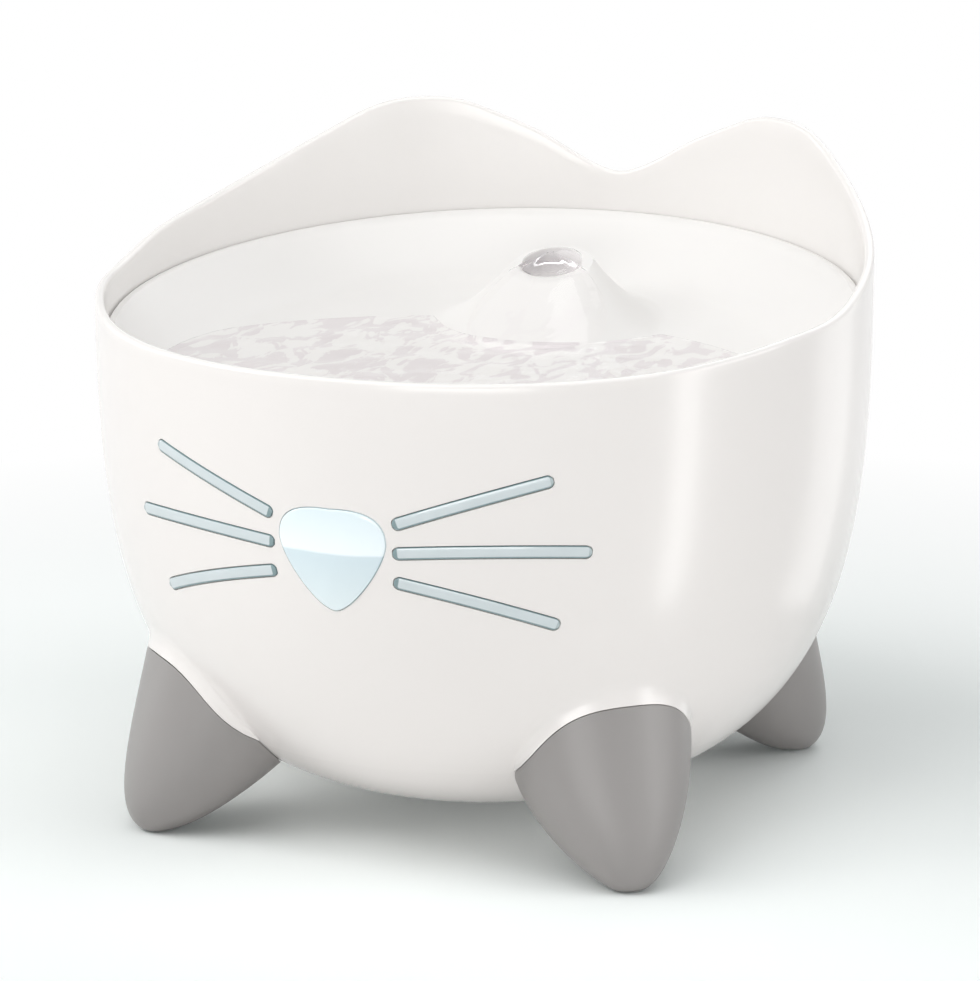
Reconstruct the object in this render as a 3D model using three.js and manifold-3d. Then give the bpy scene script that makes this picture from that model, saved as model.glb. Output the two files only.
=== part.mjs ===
// Pet water fountain: a bowl on four cat-ear legs, with an eared back wall, a nose window,
// whisker inlays, a sloping drinking dish, a filter tray and a small submerged pump.
// Millimetres and degrees. +Z is up, the nose faces -Y, the floor is z = 0 and the origin lies
// on the floor under the bowl's axis. An azimuth is measured from the nose, positive towards +X.
import * as THREE from "three";
import { mergeVertices } from "three/addons/utils/BufferGeometryUtils.js";
import Module from "manifold-3d";

const wasm = await Module();
wasm.setup();

// Fits shared by the whole assembly
const seatGap = 0.3; // between pieces that seat on each other
const cutOverrun = 6; // how far a cutting tool runs past what it cuts

// Bowl
const bowlRadius = 114;
const bowlUnderside = 4.4; // height of the lowest point above the floor
const bottomInset = 14.4; // the flat bottom pulls the side's curve to this far in from the side
const rimFrontHeight = 149;
const sideTopDepth = 0.6; // the side stands upright from this far below the front rim
const sidePullHeight = 90; // how far down the upright side pulls the curve
const shellWall = 2.8;
const floorMargin = 1.1; // of flat floor round the pump's suction cups
const rimBevel = 1;
const earRise = 43.3; // the ears' peaks above the front rim
const valleyRise = 20.6; // the dip between the ears above the front rim
const earAzimuth = 148;
const wallFootDepth = 31; // below the front rim, where the wall's rows start to follow rim and dish
const ledgeWidth = 2.4; // the ledge inside the wall that carries the dish
const ledgeDepth = 2;

// Drinking dish
const dishDepth = 2.4; // of the edge plane on the bowl's axis, below the front rim
const dishSlope = 0.0965; // rise of the edge plane per unit towards the back
const dishGap = 0.5; // round the dish's edge
const dishWall = 2.6;
const bandWidth = 21;
const bandDrop = 15.5;
const basinDrop = 8;
const spoutInset = 59; // from the bowl's side to the spout's axis
const moundRise = 3.6; // the mouth's lip above the edge plane on the bowl's axis
const moundTilt = 0.26; // the mouth's lip rises this much per unit towards the back
const moundLipBevel = 1;
const moundMouthRadius = 8.6;
const moundCrownRadius = 12.4;
const moundFootRadius = 37;
const moundFootShift = 8; // the foot's centre lies this much further forward than the mouth
const moundFlareShare = 1.4; // power of the fall from crown to foot, where 1 is a cone
const socketClearance = 0.4; // round the hose
const socketWall = 2.2;
const socketDepth = 24; // below the nozzle's seat
const nozzleSeatDepth = 9.2; // below the mouth's lip
const nozzleHeight = 3.4;
const drainNearAzimuth = 25; // the drain slots lie either side of the nose, between two azimuths
const drainFarAzimuth = 43;
const drainCount = 3; // each side
const drainWidth = 10;
const drainDepth = 3.4;
const drainInset = 3.4; // from the dish's flat edge to the slots

// Legs
const hoodTop = 67; // height of the hood's root inside the bowl's wall
const hoodRootInset = 13.5; // this and the next insets are measured in from the bowl's side
const legPullWidth = 5.6; // pulls the leg's outer line this far out past the bowl's side
const legPullHeight = 8;
const legWaistInset = 8; // pulls the top of the outer line outwards
const legWaistHeight = 35;
const soleHeight = 0.6; // the sole's height above the floor, with the pad below it
const soleInset = 5;
const soleLength = 10.5;
const soleHalfWidth = 5.5;
const legRootInset = 49;
const legRootHeight = 14;
const legKneeInset = 40;
const legKneeHeight = 19.7;
const legSwellInset = 19; // where the underside is nearly down at the sole
const legRootHalfWidth = 25.7;
const legFullHalfWidth = 27.6;
const legShinHalfWidth = 11.8;
const legWall = 2.4;
const seamInset = 9.3; // where the hood's seam crosses the leg's outer line
const seamHeight = 54;
const seamSlope = 0.65;
const legScrewInset = 20;
const legScrewFoot = 5; // height of the screw head's underside
const legScrewShank = 1.3;
const legScrewHead = 3.1;
const legScrewHeadHeight = 2;
const legScrewLength = 19;
const postRadius = 3.5;
const postFoot = 16;
const padRadius = 3.4;
const padThickness = 1.7;

// Nose and whiskers
const noseHalfWidth = 15.8;
const noseDepth = 37; // the nose's top below the front rim
const noseHeight = 29.5;
const noseBulge = 1.6;
const noseFlange = 3;
const noseFlangeThickness = 1.8;
const noseSeatDepth = 0.6; // the gasket's seat is cut this deep into the wall's inside
const gasketThickness = 1;
const whiskerWidth = 3.4;
const whiskerDepth = 1.3;
const whiskerProud = 0.4;
const whiskerInnerAzimuth = 10;
// Each whisker's heights at its start, middle and end are shares of the nose's height above its tip.
const whiskers = [
  { name: "upper", heightShares: [0.9085, 1.1356, 1.322], outerAzimuth: 30.8 },
  { name: "middle", heightShares: [0.617, 0.6542, 0.6237], outerAzimuth: 36.5 },
  { name: "lower", heightShares: [0.322, 0.1492, -0.0814], outerAzimuth: 32.2 },
];

// Filter tray and pad
const trayDepth = 47; // the underside of the tray's floor below the front rim
const trayGap = 1.43; // between the tray and the wall
const trayFloor = 2.2;
const trayRimHeight = 11;
const trayRimWall = 2;
const trayLugLength = 4; // the lugs stand this far in from the tray's edge
const trayLugWidth = 9;
const trayLugHeight = 5;
const traySlotLength = 38;
const traySlotWidth = 9;
const traySlotPitchX = 50;
const traySlotPitchY = 25;
const trayCollarWall = 2;
const filterPadThickness = 8;
const filterPadClearance = 0.8;

// Pump
const cupHeight = 5;
const cupRadius = 7;
const cupStemRadius = 2.4;
const cupStemDepth = 3;
const cupSpacingX = 24;
const cupSpacingY = 26;
const pumpWidth = 36;
const pumpHeight = 34;
const pumpCorner = 5;
const pumpFront = 24; // the motor block reaches this far in front of the bowl's axis
const chamberFront = 10; // the impeller chamber starts this far behind the axis
const chamberLength = 14;
const chamberWall = 3.5;
const chamberFloor = 2;
const rotorWellRadius = 7;
const rotorWellDepth = 24;
const magnetGap = 0.8; // round the magnet in its well
const magnetBoreGap = 0.5; // round the shaft
const impellerGap = 1.9; // round the impeller in its chamber
const impellerHub = 4;
const impellerWidth = 7;
const impellerVane = 1.3;
const impellerVaneCount = 5;
const shaftRadius = 1.1;
const bushWall = 1.7;
const bushLength = 2.6;
const coverThickness = 2.2;
const coverInletInner = 5;
const coverInletOuter = 8.5;
const coverSpokeWidth = 1.6;
const coverSpokeCount = 3;
const intakeWidth = 30;
const intakeHeight = 26;
const intakeLength = 17;
const intakeWall = 1.6;
const intakeSlotWidth = 2;
const intakeSlotHeight = 12;
const intakeSlotCount = 7;
const intakeSlotPitch = 3.6;
const foamMargin = 0.6;
const sliderWidth = 14;
const sliderHeight = 8;
const sliderThickness = 1.6;
const sliderTravel = 6;
const railHeight = 1.4;
const railLip = 1;
const outletOffset = 18; // the outlet's distance behind the bowl's axis
const outletRadius = 5;
const outletBore = 3.2;
const outletLength = 9;
const inletBossRadius = 3.6;
const inletBossHeight = 4;
const inletBossBore = 1.9;
const lampRadius = 6;
const lampSkirt = 3;
const lampDome = 4.8;
const hoseWall = 1.4;
const hoseFit = 0.6; // round the pump's outlet
const hoseStraight = 9; // straight length above the outlet
const hoseBendDepth = 4; // the hose is upright again this far below the tray
const hoseTopGap = 2; // under the nozzle's seat
const hoseClearance = 0.8; // where the hose passes through the tray

// Cable grommet in the back wall
const grommetDepth = 23; // below the front rim
const grommetRadius = 4;
const grommetFlange = 6.2;
const grommetFlangeThickness = 1;
const grommetTaper = 1.2;
const grommetBore = 1.8;
const grommetRecess = 1.3; // the outer flange lies in a recess of this depth

// Facets
const bowlSides = 44;
const dishSides = 40;
const discSides = 36;
const roundSides = 16;
const smallSides = 10;
const cornerSteps = 3; // in each rounded corner of the pump's sleeves

const degree = Math.PI / 180;
const sideTop = rimFrontHeight - sideTopDepth;
const earPeakHeight = rimFrontHeight + earRise;
const rearValleyHeight = rimFrontHeight + valleyRise;
const wallFootHeight = rimFrontHeight - wallFootDepth;
const grommetHeight = rimFrontHeight - grommetDepth;
const noseTop = rimFrontHeight - noseDepth;
const noseTip = noseTop - noseHeight;
const trayHeight = rimFrontHeight - trayDepth;
const upperInnerRadius = bowlRadius - shellWall;
const dishRadius = upperInnerRadius - dishGap;
const dishLip = ledgeWidth + seatGap - dishGap; // flat edge that lies on the ledge
const dishAxisHeight = rimFrontHeight - dishDepth;
const spoutOffset = bowlRadius - spoutInset;
const moundTop = dishAxisHeight + moundRise;
const nozzleSeatHeight = moundTop - nozzleSeatDepth;
const socketFoot = nozzleSeatHeight - socketDepth;
const hoseBore = outletRadius + hoseFit;
const hoseRadius = hoseBore + hoseWall;
const hoseTop = nozzleSeatHeight - hoseTopGap;
const hoseBendTop = trayHeight - hoseBendDepth;
const socketBore = hoseRadius + socketClearance;
const chamberBack = chamberFront + chamberLength;
const chamberRadius = pumpHeight / 2;
const magnetRadius = rotorWellRadius - magnetGap;
const magnetBore = shaftRadius + magnetBoreGap;
const impellerRadius = chamberRadius - chamberWall - impellerGap;
const bushRadius = shaftRadius + bushWall;

// A point at a radius, an azimuth from the nose and a height.
function polar(radius, azimuth, height) {
  const angle = azimuth * degree;
  return new THREE.Vector3(radius * Math.sin(angle), -radius * Math.cos(angle), height);
}

// A smooth value between hand-chosen pairs of shares.
function along(pairs, share) {
  const last = pairs.length - 1;
  let k = pairs.findIndex((pair) => pair[0] > share) - 1;
  if (k < 0) k = share <= pairs[0][0] ? 0 : last - 1;
  const slope = (a, b) => (pairs[b][1] - pairs[a][1]) / (pairs[b][0] - pairs[a][0]);
  const [x0, y0] = pairs[k];
  const [x1, y1] = pairs[k + 1];
  const startSlope = k > 0 ? slope(k - 1, k + 1) : 0;
  const endSlope = k + 1 < last ? slope(k, k + 2) : 0;
  const width = x1 - x0;
  const t = (share - x0) / width;
  return (
    y0 * (1 + 2 * t) * (1 - t) ** 2 +
    y1 * t ** 2 * (3 - 2 * t) +
    width * t * (1 - t) * (startSlope * (1 - t) - endSlope * t)
  );
}

// Turns a closed geometry into a solid, with its faces pointing out.
function solid(geometry) {
  const bare = geometry.index ? geometry.toNonIndexed() : geometry.clone();
  bare.deleteAttribute("normal");
  bare.deleteAttribute("uv");
  const merged = mergeVertices(bare, 1e-3);
  const triVerts = new Uint32Array(merged.index.array);
  const make = () =>
    new wasm.Manifold(
      new wasm.Mesh({ numProp: 3, vertProperties: merged.attributes.position.array, triVerts }),
    );
  const made = make();
  if (made.volume() >= 0) return made;
  for (let i = 0; i < triVerts.length; i += 3) {
    const first = triVerts[i];
    triVerts[i] = triVerts[i + 1];
    triVerts[i + 1] = first;
  }
  return make();
}

function geometryOf(body) {
  const { vertProperties, triVerts, numProp, numVert } = body.getMesh();
  const positions = new Float32Array(numVert * 3);
  for (let i = 0; i < numVert; i += 1) {
    positions.set(vertProperties.subarray(i * numProp, i * numProp + 3), i * 3);
  }
  const geometry = new THREE.BufferGeometry();
  geometry.setAttribute("position", new THREE.BufferAttribute(positions, 3));
  geometry.setIndex(new THREE.BufferAttribute(triVerts, 1));
  geometry.computeVertexNormals();
  return geometry;
}

const join = (...bodies) => bodies.reduce((whole, body) => whole.add(body));
const cut = (body, ...tools) => tools.reduce((rest, tool) => rest.subtract(tool), body);

// Skins a run of rings that all have the same number of points. Open runs get flat ends.
function loft(rings, closed = false) {
  const count = rings[0].length;
  const positions = [];
  const put = (...points) => points.forEach((p) => positions.push(p.x, p.y, p.z));
  const pairs = closed ? rings.length : rings.length - 1;
  for (let k = 0; k < pairs; k += 1) {
    const near = rings[k];
    const far = rings[(k + 1) % rings.length];
    for (let i = 0; i < count; i += 1) {
      const j = (i + 1) % count;
      put(near[i], near[j], far[j], near[i], far[j], far[i]);
    }
  }
  if (!closed) {
    const cap = (ring, turned) => {
      const middle = new THREE.Vector3();
      ring.forEach((p) => middle.addScaledVector(p, 1 / count));
      for (let i = 0; i < count; i += 1) {
        const j = (i + 1) % count;
        if (turned) put(middle, ring[j], ring[i]);
        else put(middle, ring[i], ring[j]);
      }
    };
    cap(rings[0], true);
    cap(rings[rings.length - 1], false);
  }
  const geometry = new THREE.BufferGeometry();
  geometry.setAttribute("position", new THREE.Float32BufferAttribute(positions, 3));
  return solid(geometry);
}

// A body of revolution about +Z from [radius, height] pairs, which close on themselves or on the axis.
function turned(profile, sides = roundSides) {
  const points = profile.map(([r, z]) => new THREE.Vector2(r, z));
  const closed = points[0].x > 0 || points[points.length - 1].x > 0;
  if (closed) points.push(points[0].clone());
  const geometry = new THREE.LatheGeometry(points, sides);
  geometry.rotateX(90 * degree);
  return solid(geometry);
}

// A disc or ring between two heights.
function ring(inner, outer, low, high, sides = roundSides) {
  const profile = [[inner, low], [outer, low], [outer, high], [inner, high]];
  return turned(profile, sides);
}

// Lays a body that was turned about +Z along +Y, so that its height becomes a distance backwards.
const alongY = (body) => body.rotate([-90, 0, 0]);

function block(width, length, height, x, y, z) {
  const geometry = new THREE.BoxGeometry(width, length, height);
  geometry.translate(x, y, z);
  return solid(geometry);
}

// A rounded rectangle across the pump's axis, pushed back from one distance to another.
function sleeve(width, height, corner, front, back) {
  const shape = new THREE.Shape();
  const x = width / 2 - corner;
  const y = height / 2 - corner;
  shape.absarc(x, y, corner, 0, 90 * degree);
  shape.absarc(-x, y, corner, 90 * degree, 180 * degree);
  shape.absarc(-x, -y, corner, 180 * degree, 270 * degree);
  shape.absarc(x, -y, corner, 270 * degree, 360 * degree);
  const depth = back - front;
  const options = { depth, bevelEnabled: false, curveSegments: cornerSteps };
  const geometry = new THREE.ExtrudeGeometry(shape, options);
  geometry.rotateX(90 * degree);
  geometry.translate(0, back, pumpAxis);
  return solid(geometry);
}

// The bowl's outside is one curve, from the middle of the bottom to the upright side.
const outerCurve = new THREE.CubicBezierCurve(
  new THREE.Vector2(0, bowlUnderside),
  new THREE.Vector2(bowlRadius - bottomInset, bowlUnderside),
  new THREE.Vector2(bowlRadius, sideTop - sidePullHeight),
  new THREE.Vector2(bowlRadius, sideTop),
);
const curveSteps = 160;

// The bowl's outside moved inwards by a depth, as points from the middle out.
function skin(depth) {
  return Array.from({ length: curveSteps + 1 }, (_, i) => {
    const point = outerCurve.getPoint(i / curveSteps);
    const tangent = outerCurve.getTangent(i / curveSteps);
    return new THREE.Vector2(point.x - tangent.y * depth, point.y + tangent.x * depth);
  });
}
const outerSkin = skin(0);
const innerSkin = skin(shellWall);

function radiusAt(points, height) {
  const k = points.findIndex((p) => p.y >= height && p.x > 0);
  if (k < 0) return points[points.length - 1].x;
  if (k === 0) return points[0].x;
  const low = points[k - 1];
  const high = points[k];
  return low.x + ((high.x - low.x) * (height - low.y)) / (high.y - low.y);
}

function heightAt(points, radius) {
  const k = points.findIndex((p) => p.x >= radius);
  const low = points[k - 1];
  const high = points[k];
  return low.y + ((high.y - low.y) * (radius - low.x)) / (high.x - low.x);
}
const outerRadius = (height) => radiusAt(outerSkin, height);
const innerRadius = (height) => radiusAt(innerSkin, height);

// The floor inside is flat under the pump and its cups, out to where it meets the curved wall.
const cupPlaces = [-1, 1].flatMap((x) =>
  [-1, 1].map((y) => [(x * cupSpacingX) / 2, (y * cupSpacingY) / 2 - (pumpFront - chamberFront) / 2]),
);
const floorRadius = Math.max(...cupPlaces.map(([x, y]) => Math.hypot(x, y))) + cupRadius + floorMargin;
const floorTop = heightAt(innerSkin, floorRadius);
const pumpBottom = floorTop + cupHeight;
const pumpAxis = pumpBottom + pumpHeight / 2;
const pumpTop = pumpBottom + pumpHeight;
const trayRadius = innerRadius(trayHeight) - trayGap;

// Height of the wall's rim: a slow rise from the front, the ears, then the dip between them.
const earRiseShares = [
  [0, 0], [0.2, 0], [0.34, 0.026], [0.48, 0.106], [0.57, 0.15], [0.66, 0.289], [0.73, 0.393],
  [0.81, 0.561], [0.885, 0.764], [0.95, 0.952], [1, 1],
];
const valleyFallShares = [
  [0, 1], [0.19, 0.952], [0.39, 0.753], [0.594, 0.511], [0.78, 0.22], [0.9, 0.062], [1, 0],
];
function rimHeight(azimuth) {
  const turn = Math.abs(azimuth);
  if (turn <= earAzimuth) {
    const rise = earPeakHeight - rimFrontHeight;
    return rimFrontHeight + rise * along(earRiseShares, turn / earAzimuth);
  }
  const share = (turn - earAzimuth) / (180 - earAzimuth);
  return rearValleyHeight + (earPeakHeight - rearValleyHeight) * along(valleyFallShares, share);
}

// Height of the dish's edge plane at a point.
const edgeHeight = (y) => dishAxisHeight + dishSlope * y;
const ledgeHeight = (azimuth) =>
  edgeHeight(-upperInnerRadius * Math.cos(azimuth * degree)) - dishWall - seatGap;

const azimuths = (sides) =>
  Array.from({ length: sides }, (_, i) => (i * 360) / sides).map((a) => (a > 180 ? a - 360 : a));

// Shares of the outer curve at which the wall, and whatever follows it, has a row of facets.
const outerShares = [0.11, 0.21, 0.29, 0.37, 0.45, 0.53, 0.61, 0.7, 0.79];

// The wall of the bowl from the rows of radius and height that a function gives for an azimuth.
function bowlWall() {
  const innerShares = [0.79, 0.7, 0.61, 0.48, 0.35, 0.23];
  const upperShares = [0.5];
  const rows = (azimuth) => {
    const rim = rimHeight(azimuth);
    const ledge = ledgeHeight(azimuth);
    const outside = [0, ...outerShares].map((share) => outerSkin[Math.round(share * curveSteps)]);
    const climb = [0, ...upperShares].map((share) => {
      const height = wallFootHeight + (rim - rimBevel - wallFootHeight) * share;
      return new THREE.Vector2(outerRadius(height), height);
    });
    const crest = [
      new THREE.Vector2(bowlRadius, rim - rimBevel),
      new THREE.Vector2(bowlRadius - rimBevel, rim),
      new THREE.Vector2(upperInnerRadius + rimBevel, rim),
      new THREE.Vector2(upperInnerRadius, rim - rimBevel),
    ];
    const ledgeFoot = ledge - ledgeDepth;
    const ledgeRoot = ledgeFoot - ledgeWidth;
    const shelf = [
      new THREE.Vector2(upperInnerRadius, ledge),
      new THREE.Vector2(upperInnerRadius - ledgeWidth, ledge),
      new THREE.Vector2(upperInnerRadius - ledgeWidth, ledgeFoot),
      new THREE.Vector2(innerRadius(ledgeRoot), ledgeRoot),
      new THREE.Vector2(innerRadius(wallFootHeight), wallFootHeight),
    ];
    const inside = innerShares.map((share) => innerSkin[Math.round(share * curveSteps)]);
    const floor = [
      new THREE.Vector2(floorRadius, floorTop),
      new THREE.Vector2(0, floorTop),
    ];
    return [...outside, ...climb, ...crest, ...shelf, ...inside, ...floor];
  };
  const columns = azimuths(bowlSides).map((azimuth) =>
    rows(azimuth).map((p) => polar(p.x, azimuth, p.y)),
  );
  return loft(columns[0].map((_, row) => columns.map((column) => column[row])));
}

// Everything inside the bowl's outside moved in by a depth, up past the rim.
function bowlCore(depth, sides = bowlSides) {
  const points = skin(depth);
  const profile = outerShares.map((share) => points[Math.round(share * curveSteps)]);
  const top = points[curveSteps];
  return turned(
    [[0, points[0].y], ...profile.map((p) => [p.x, p.y]), [top.x, top.y], [0, top.y]],
    sides,
  );
}

// A leg and the hood above it are one horn, skinned between an outer and an inner line.
const soleOuterRadius = bowlRadius - soleInset;
const soleInnerRadius = soleOuterRadius - soleLength;
const soleMiddle = (soleOuterRadius + soleInnerRadius) / 2;
const legScrewRadius = bowlRadius - legScrewInset;
const legOuterLine = new THREE.CubicBezierCurve(
  new THREE.Vector2(bowlRadius - hoodRootInset, hoodTop),
  new THREE.Vector2(bowlRadius - legWaistInset, legWaistHeight),
  new THREE.Vector2(bowlRadius + legPullWidth, legPullHeight),
  new THREE.Vector2(soleOuterRadius, soleHeight),
);
const legInnerLine = new THREE.CubicBezierCurve(
  new THREE.Vector2(bowlRadius - legRootInset, legRootHeight),
  new THREE.Vector2(bowlRadius - legKneeInset, legKneeHeight),
  new THREE.Vector2(bowlRadius - legSwellInset, soleHeight),
  new THREE.Vector2(soleInnerRadius, soleHeight),
);
const legHalfWidths = new THREE.CubicBezierCurve(
  new THREE.Vector2(0, legRootHalfWidth),
  new THREE.Vector2(0, legFullHalfWidth),
  new THREE.Vector2(0, legShinHalfWidth),
  new THREE.Vector2(0, soleHalfWidth),
);
const legRingShares = [0, 0.18, 0.36, 0.54, 0.72, 0.88, 1];
const legHollowShares = [0, 0.25, 0.5];
const legRoundness = 2.26; // 2 is an ellipse, more is squarer
const legSides = 14;
const legHollowSides = 10;
const legs = [
  { name: "front_right", azimuth: 45 },
  { name: "front_left", azimuth: -45 },
  { name: "rear_right", azimuth: 135 },
  { name: "rear_left", azimuth: -135 },
];

// The horn in its own frame: x is outwards along the leg, y is sideways and z is up.
function horn(shares, inset, sides = legSides) {
  const rings = shares.map((share) => {
    const outer = legOuterLine.getPoint(share);
    const inner = legInnerLine.getPoint(share);
    const middle = outer.clone().add(inner).multiplyScalar(0.5);
    const reach = outer.clone().sub(middle);
    reach.setLength(reach.length() - inset);
    const halfWidth = legHalfWidths.getPoint(share).y - inset;
    return Array.from({ length: sides }, (_, i) => {
      const angle = (i * 2 * Math.PI) / sides;
      const round = (value) => Math.sign(value) * Math.abs(value) ** (2 / legRoundness);
      const out = round(Math.cos(angle));
      const side = round(Math.sin(angle));
      return new THREE.Vector3(middle.x + reach.x * out, halfWidth * side, middle.y + reach.y * out);
    });
  });
  return loft(rings);
}

// Everything above the plane of the seam between hood and leg, which can be lowered or raised.
function aboveSeam(offset) {
  const span = bowlRadius * 2;
  const geometry = new THREE.BoxGeometry(span, span, span);
  geometry.translate(0, 0, span / 2 + offset);
  geometry.rotateY(-Math.atan(seamSlope));
  geometry.translate(bowlRadius - seamInset, 0, seamHeight);
  return solid(geometry);
}

const turnedTo = (body, azimuth) => body.rotate([0, 0, azimuth - 90]);

function legHood(azimuth, core) {
  const hood = horn(legRingShares, 0).intersect(aboveSeam(0));
  return cut(turnedTo(hood, azimuth), core);
}

function legPost(azimuth, core) {
  const top = seamHeight + cutOverrun;
  const post = ring(legScrewShank + seatGap, postRadius, postFoot, top, smallSides);
  const plug = ring(0, postRadius - seatGap, postFoot + legScrewLength, top, smallSides);
  const whole = join(post, plug).translate([legScrewRadius, 0, 0]);
  return cut(turnedTo(whole, azimuth), core);
}

// Height of the face in the leg that the screw's head pulls against.
const screwSeat = legScrewFoot + legScrewHeadHeight + seatGap;
function leg(azimuth, clearOfBowl) {
  const hole = (radius, low, high) => ring(0, radius + seatGap, low, high, smallSides);
  const screwHoles = join(
    hole(postRadius, postFoot - seatGap, seamHeight + cutOverrun),
    hole(legScrewShank, -cutOverrun, postFoot),
    hole(legScrewHead, -cutOverrun, screwSeat),
  );
  const body = cut(
    horn(legRingShares, 0),
    aboveSeam(-seatGap),
    horn(legHollowShares, legWall, legHollowSides),
    screwHoles.translate([legScrewRadius, 0, 0]),
    hole(padRadius, -cutOverrun, padThickness + seatGap).translate([soleMiddle, 0, 0]),
  );
  return cut(turnedTo(body, azimuth), clearOfBowl);
}

function legScrew(azimuth) {
  const headTop = legScrewFoot + legScrewHeadHeight;
  const driveDepth = legScrewHeadHeight / 2;
  const profile = [
    [0, legScrewFoot + driveDepth],
    [legScrewHead / 2, legScrewFoot + driveDepth],
    [legScrewHead / 2, legScrewFoot],
    [legScrewHead, legScrewFoot + driveDepth / 2],
    [legScrewHead, headTop],
    [legScrewShank, headTop],
    [legScrewShank, headTop + legScrewLength - legScrewShank * 2],
    [0, headTop + legScrewLength],
  ];
  return turnedTo(turned(profile, smallSides).translate([legScrewRadius, 0, 0]), azimuth);
}

function footPad(azimuth) {
  const bevel = soleHeight / 2;
  const profile = [
    [0, 0],
    [padRadius - bevel, 0],
    [padRadius, bevel],
    [padRadius, padThickness],
    [0, padThickness],
  ];
  return turnedTo(turned(profile, smallSides).translate([soleMiddle, 0, 0]), azimuth);
}

// The nose's outline, grown by a margin, as offsets from its middle across the front.
const noseMiddle = (noseTop + noseTip) / 2;
const noseCheekShares = [[0, 1], [0.62, 1.02], [1, 0.95], [1, 0.7]];
const noseChinShares = [[1, 0.7], [1, 0.5], [0.32, 0], [0, 0]];
const nosePointsPerCurve = 5;
function noseOutline(margin) {
  const at = ([across, up]) => new THREE.Vector2(noseHalfWidth * across, noseTip + noseHeight * up);
  const right = [noseCheekShares, noseChinShares].flatMap((shares) =>
    new THREE.CubicBezierCurve(...shares.map(at)).getPoints(nosePointsPerCurve).slice(0, -1),
  );
  const tip = at(noseChinShares[noseChinShares.length - 1]);
  const left = right.slice(1).reverse().map((p) => new THREE.Vector2(-p.x, p.y));
  const points = [...right, tip, ...left];
  return points.map((p, i) => {
    const before = points[(i + points.length - 1) % points.length];
    const after = points[(i + 1) % points.length];
    const side = after.clone().sub(before).normalize();
    return new THREE.Vector2(p.x - side.y * margin, p.y + side.x * margin);
  });
}

// The outline shrunk to a share, standing off the bowl's outside by a depth.
function noseRing(margin, share, depth) {
  return noseOutline(margin).map((p) => {
    const x = p.x * share;
    const z = noseMiddle + (p.y - noseMiddle) * share;
    const radius = outerRadius(z) + depth;
    return new THREE.Vector3(x, -Math.sqrt(radius ** 2 - x ** 2), z);
  });
}

const noseCentreShare = 0.01; // the rings on the nose's middle shrink to this
const noseDomeShares = [noseCentreShare, 0.45, 0.8, 1];
const gasketDepth = shellWall - noseSeatDepth + seatGap; // the gasket's front face lies this deep
const flangeDepth = gasketDepth + gasketThickness + seatGap;
function noseWindow() {
  const dome = noseDomeShares.map((share) => noseRing(0, share, noseBulge * (1 - share ** 2)));
  return loft([
    ...dome,
    noseRing(0, 1, -flangeDepth),
    noseRing(noseFlange, 1, -flangeDepth),
    noseRing(noseFlange, 1, -flangeDepth - noseFlangeThickness),
    noseRing(0, noseCentreShare, -flangeDepth - noseFlangeThickness),
  ]);
}

function noseGasket() {
  const front = -gasketDepth;
  const rings = [
    noseRing(seatGap, 1, front),
    noseRing(noseFlange, 1, front),
    noseRing(noseFlange, 1, front - gasketThickness),
    noseRing(seatGap, 1, front - gasketThickness),
  ];
  return loft(rings, true);
}

// A whisker is a strip let into the bowl's outside, along a curve of azimuth and height.
const whiskerSteps = 5;
const whiskerTipShare = 0.55; // width left where the rounded end stops
function whiskerStrip(whisker, side, margin, proud) {
  const middleAzimuth = (whiskerInnerAzimuth + whisker.outerAzimuth) / 2;
  const heights = whisker.heightShares.map((share) => noseTip + noseHeight * share);
  const line = new THREE.CatmullRomCurve3([
    new THREE.Vector3(whiskerInnerAzimuth, heights[0], 0),
    new THREE.Vector3(middleAzimuth, heights[1], 0),
    new THREE.Vector3(whisker.outerAzimuth, heights[2], 0),
  ]);
  const halfWidth = whiskerWidth / 2 + margin;
  const perDegree = degree * outerRadius(heights[1]);
  const station = (share, beyond, width) => {
    const point = line.getPoint(share);
    const tangent = line.getTangent(share);
    const run = new THREE.Vector2(tangent.x * perDegree, tangent.y).normalize();
    const corner = (across, depth) => {
      const height = point.y + run.y * beyond + run.x * across;
      const azimuth = point.x + (run.x * beyond - run.y * across) / perDegree;
      return polar(outerRadius(height) + depth, azimuth * side, height);
    };
    const floor = -whiskerDepth - margin;
    return [
      corner(-width, floor),
      corner(width, floor),
      corner(width, proud / 2),
      corner(0, proud),
      corner(-width, proud / 2),
    ];
  };
  const shares = Array.from({ length: whiskerSteps + 1 }, (_, i) => i / whiskerSteps);
  const reach = halfWidth * whiskerTipShare;
  return loft([
    station(0, -reach, halfWidth * whiskerTipShare),
    ...shares.map((share) => station(share, 0, halfWidth)),
    station(1, reach, halfWidth * whiskerTipShare),
  ]);
}

// Lugs on the inside of the wall that carry the filter tray.
function trayLug(azimuth) {
  const inner = trayRadius - trayLugLength;
  const outer = innerRadius(trayHeight) + shellWall / 2;
  const top = trayHeight - seatGap;
  const low = top - trayLugHeight;
  const lug = block(outer - inner, trayLugWidth, trayLugHeight, (outer + inner) / 2, 0, (top + low) / 2);
  return turnedTo(lug, azimuth);
}

const grommetSeat = outerRadius(grommetHeight) - grommetRecess;
function grommetHole() {
  const far = bowlRadius + cutOverrun;
  const hole = ring(0, grommetRadius + seatGap, bowlRadius / 2, far, smallSides);
  const recess = ring(0, grommetFlange + seatGap, grommetSeat, far, smallSides);
  return alongY(join(hole, recess)).translate([0, 0, grommetHeight]);
}

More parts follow.
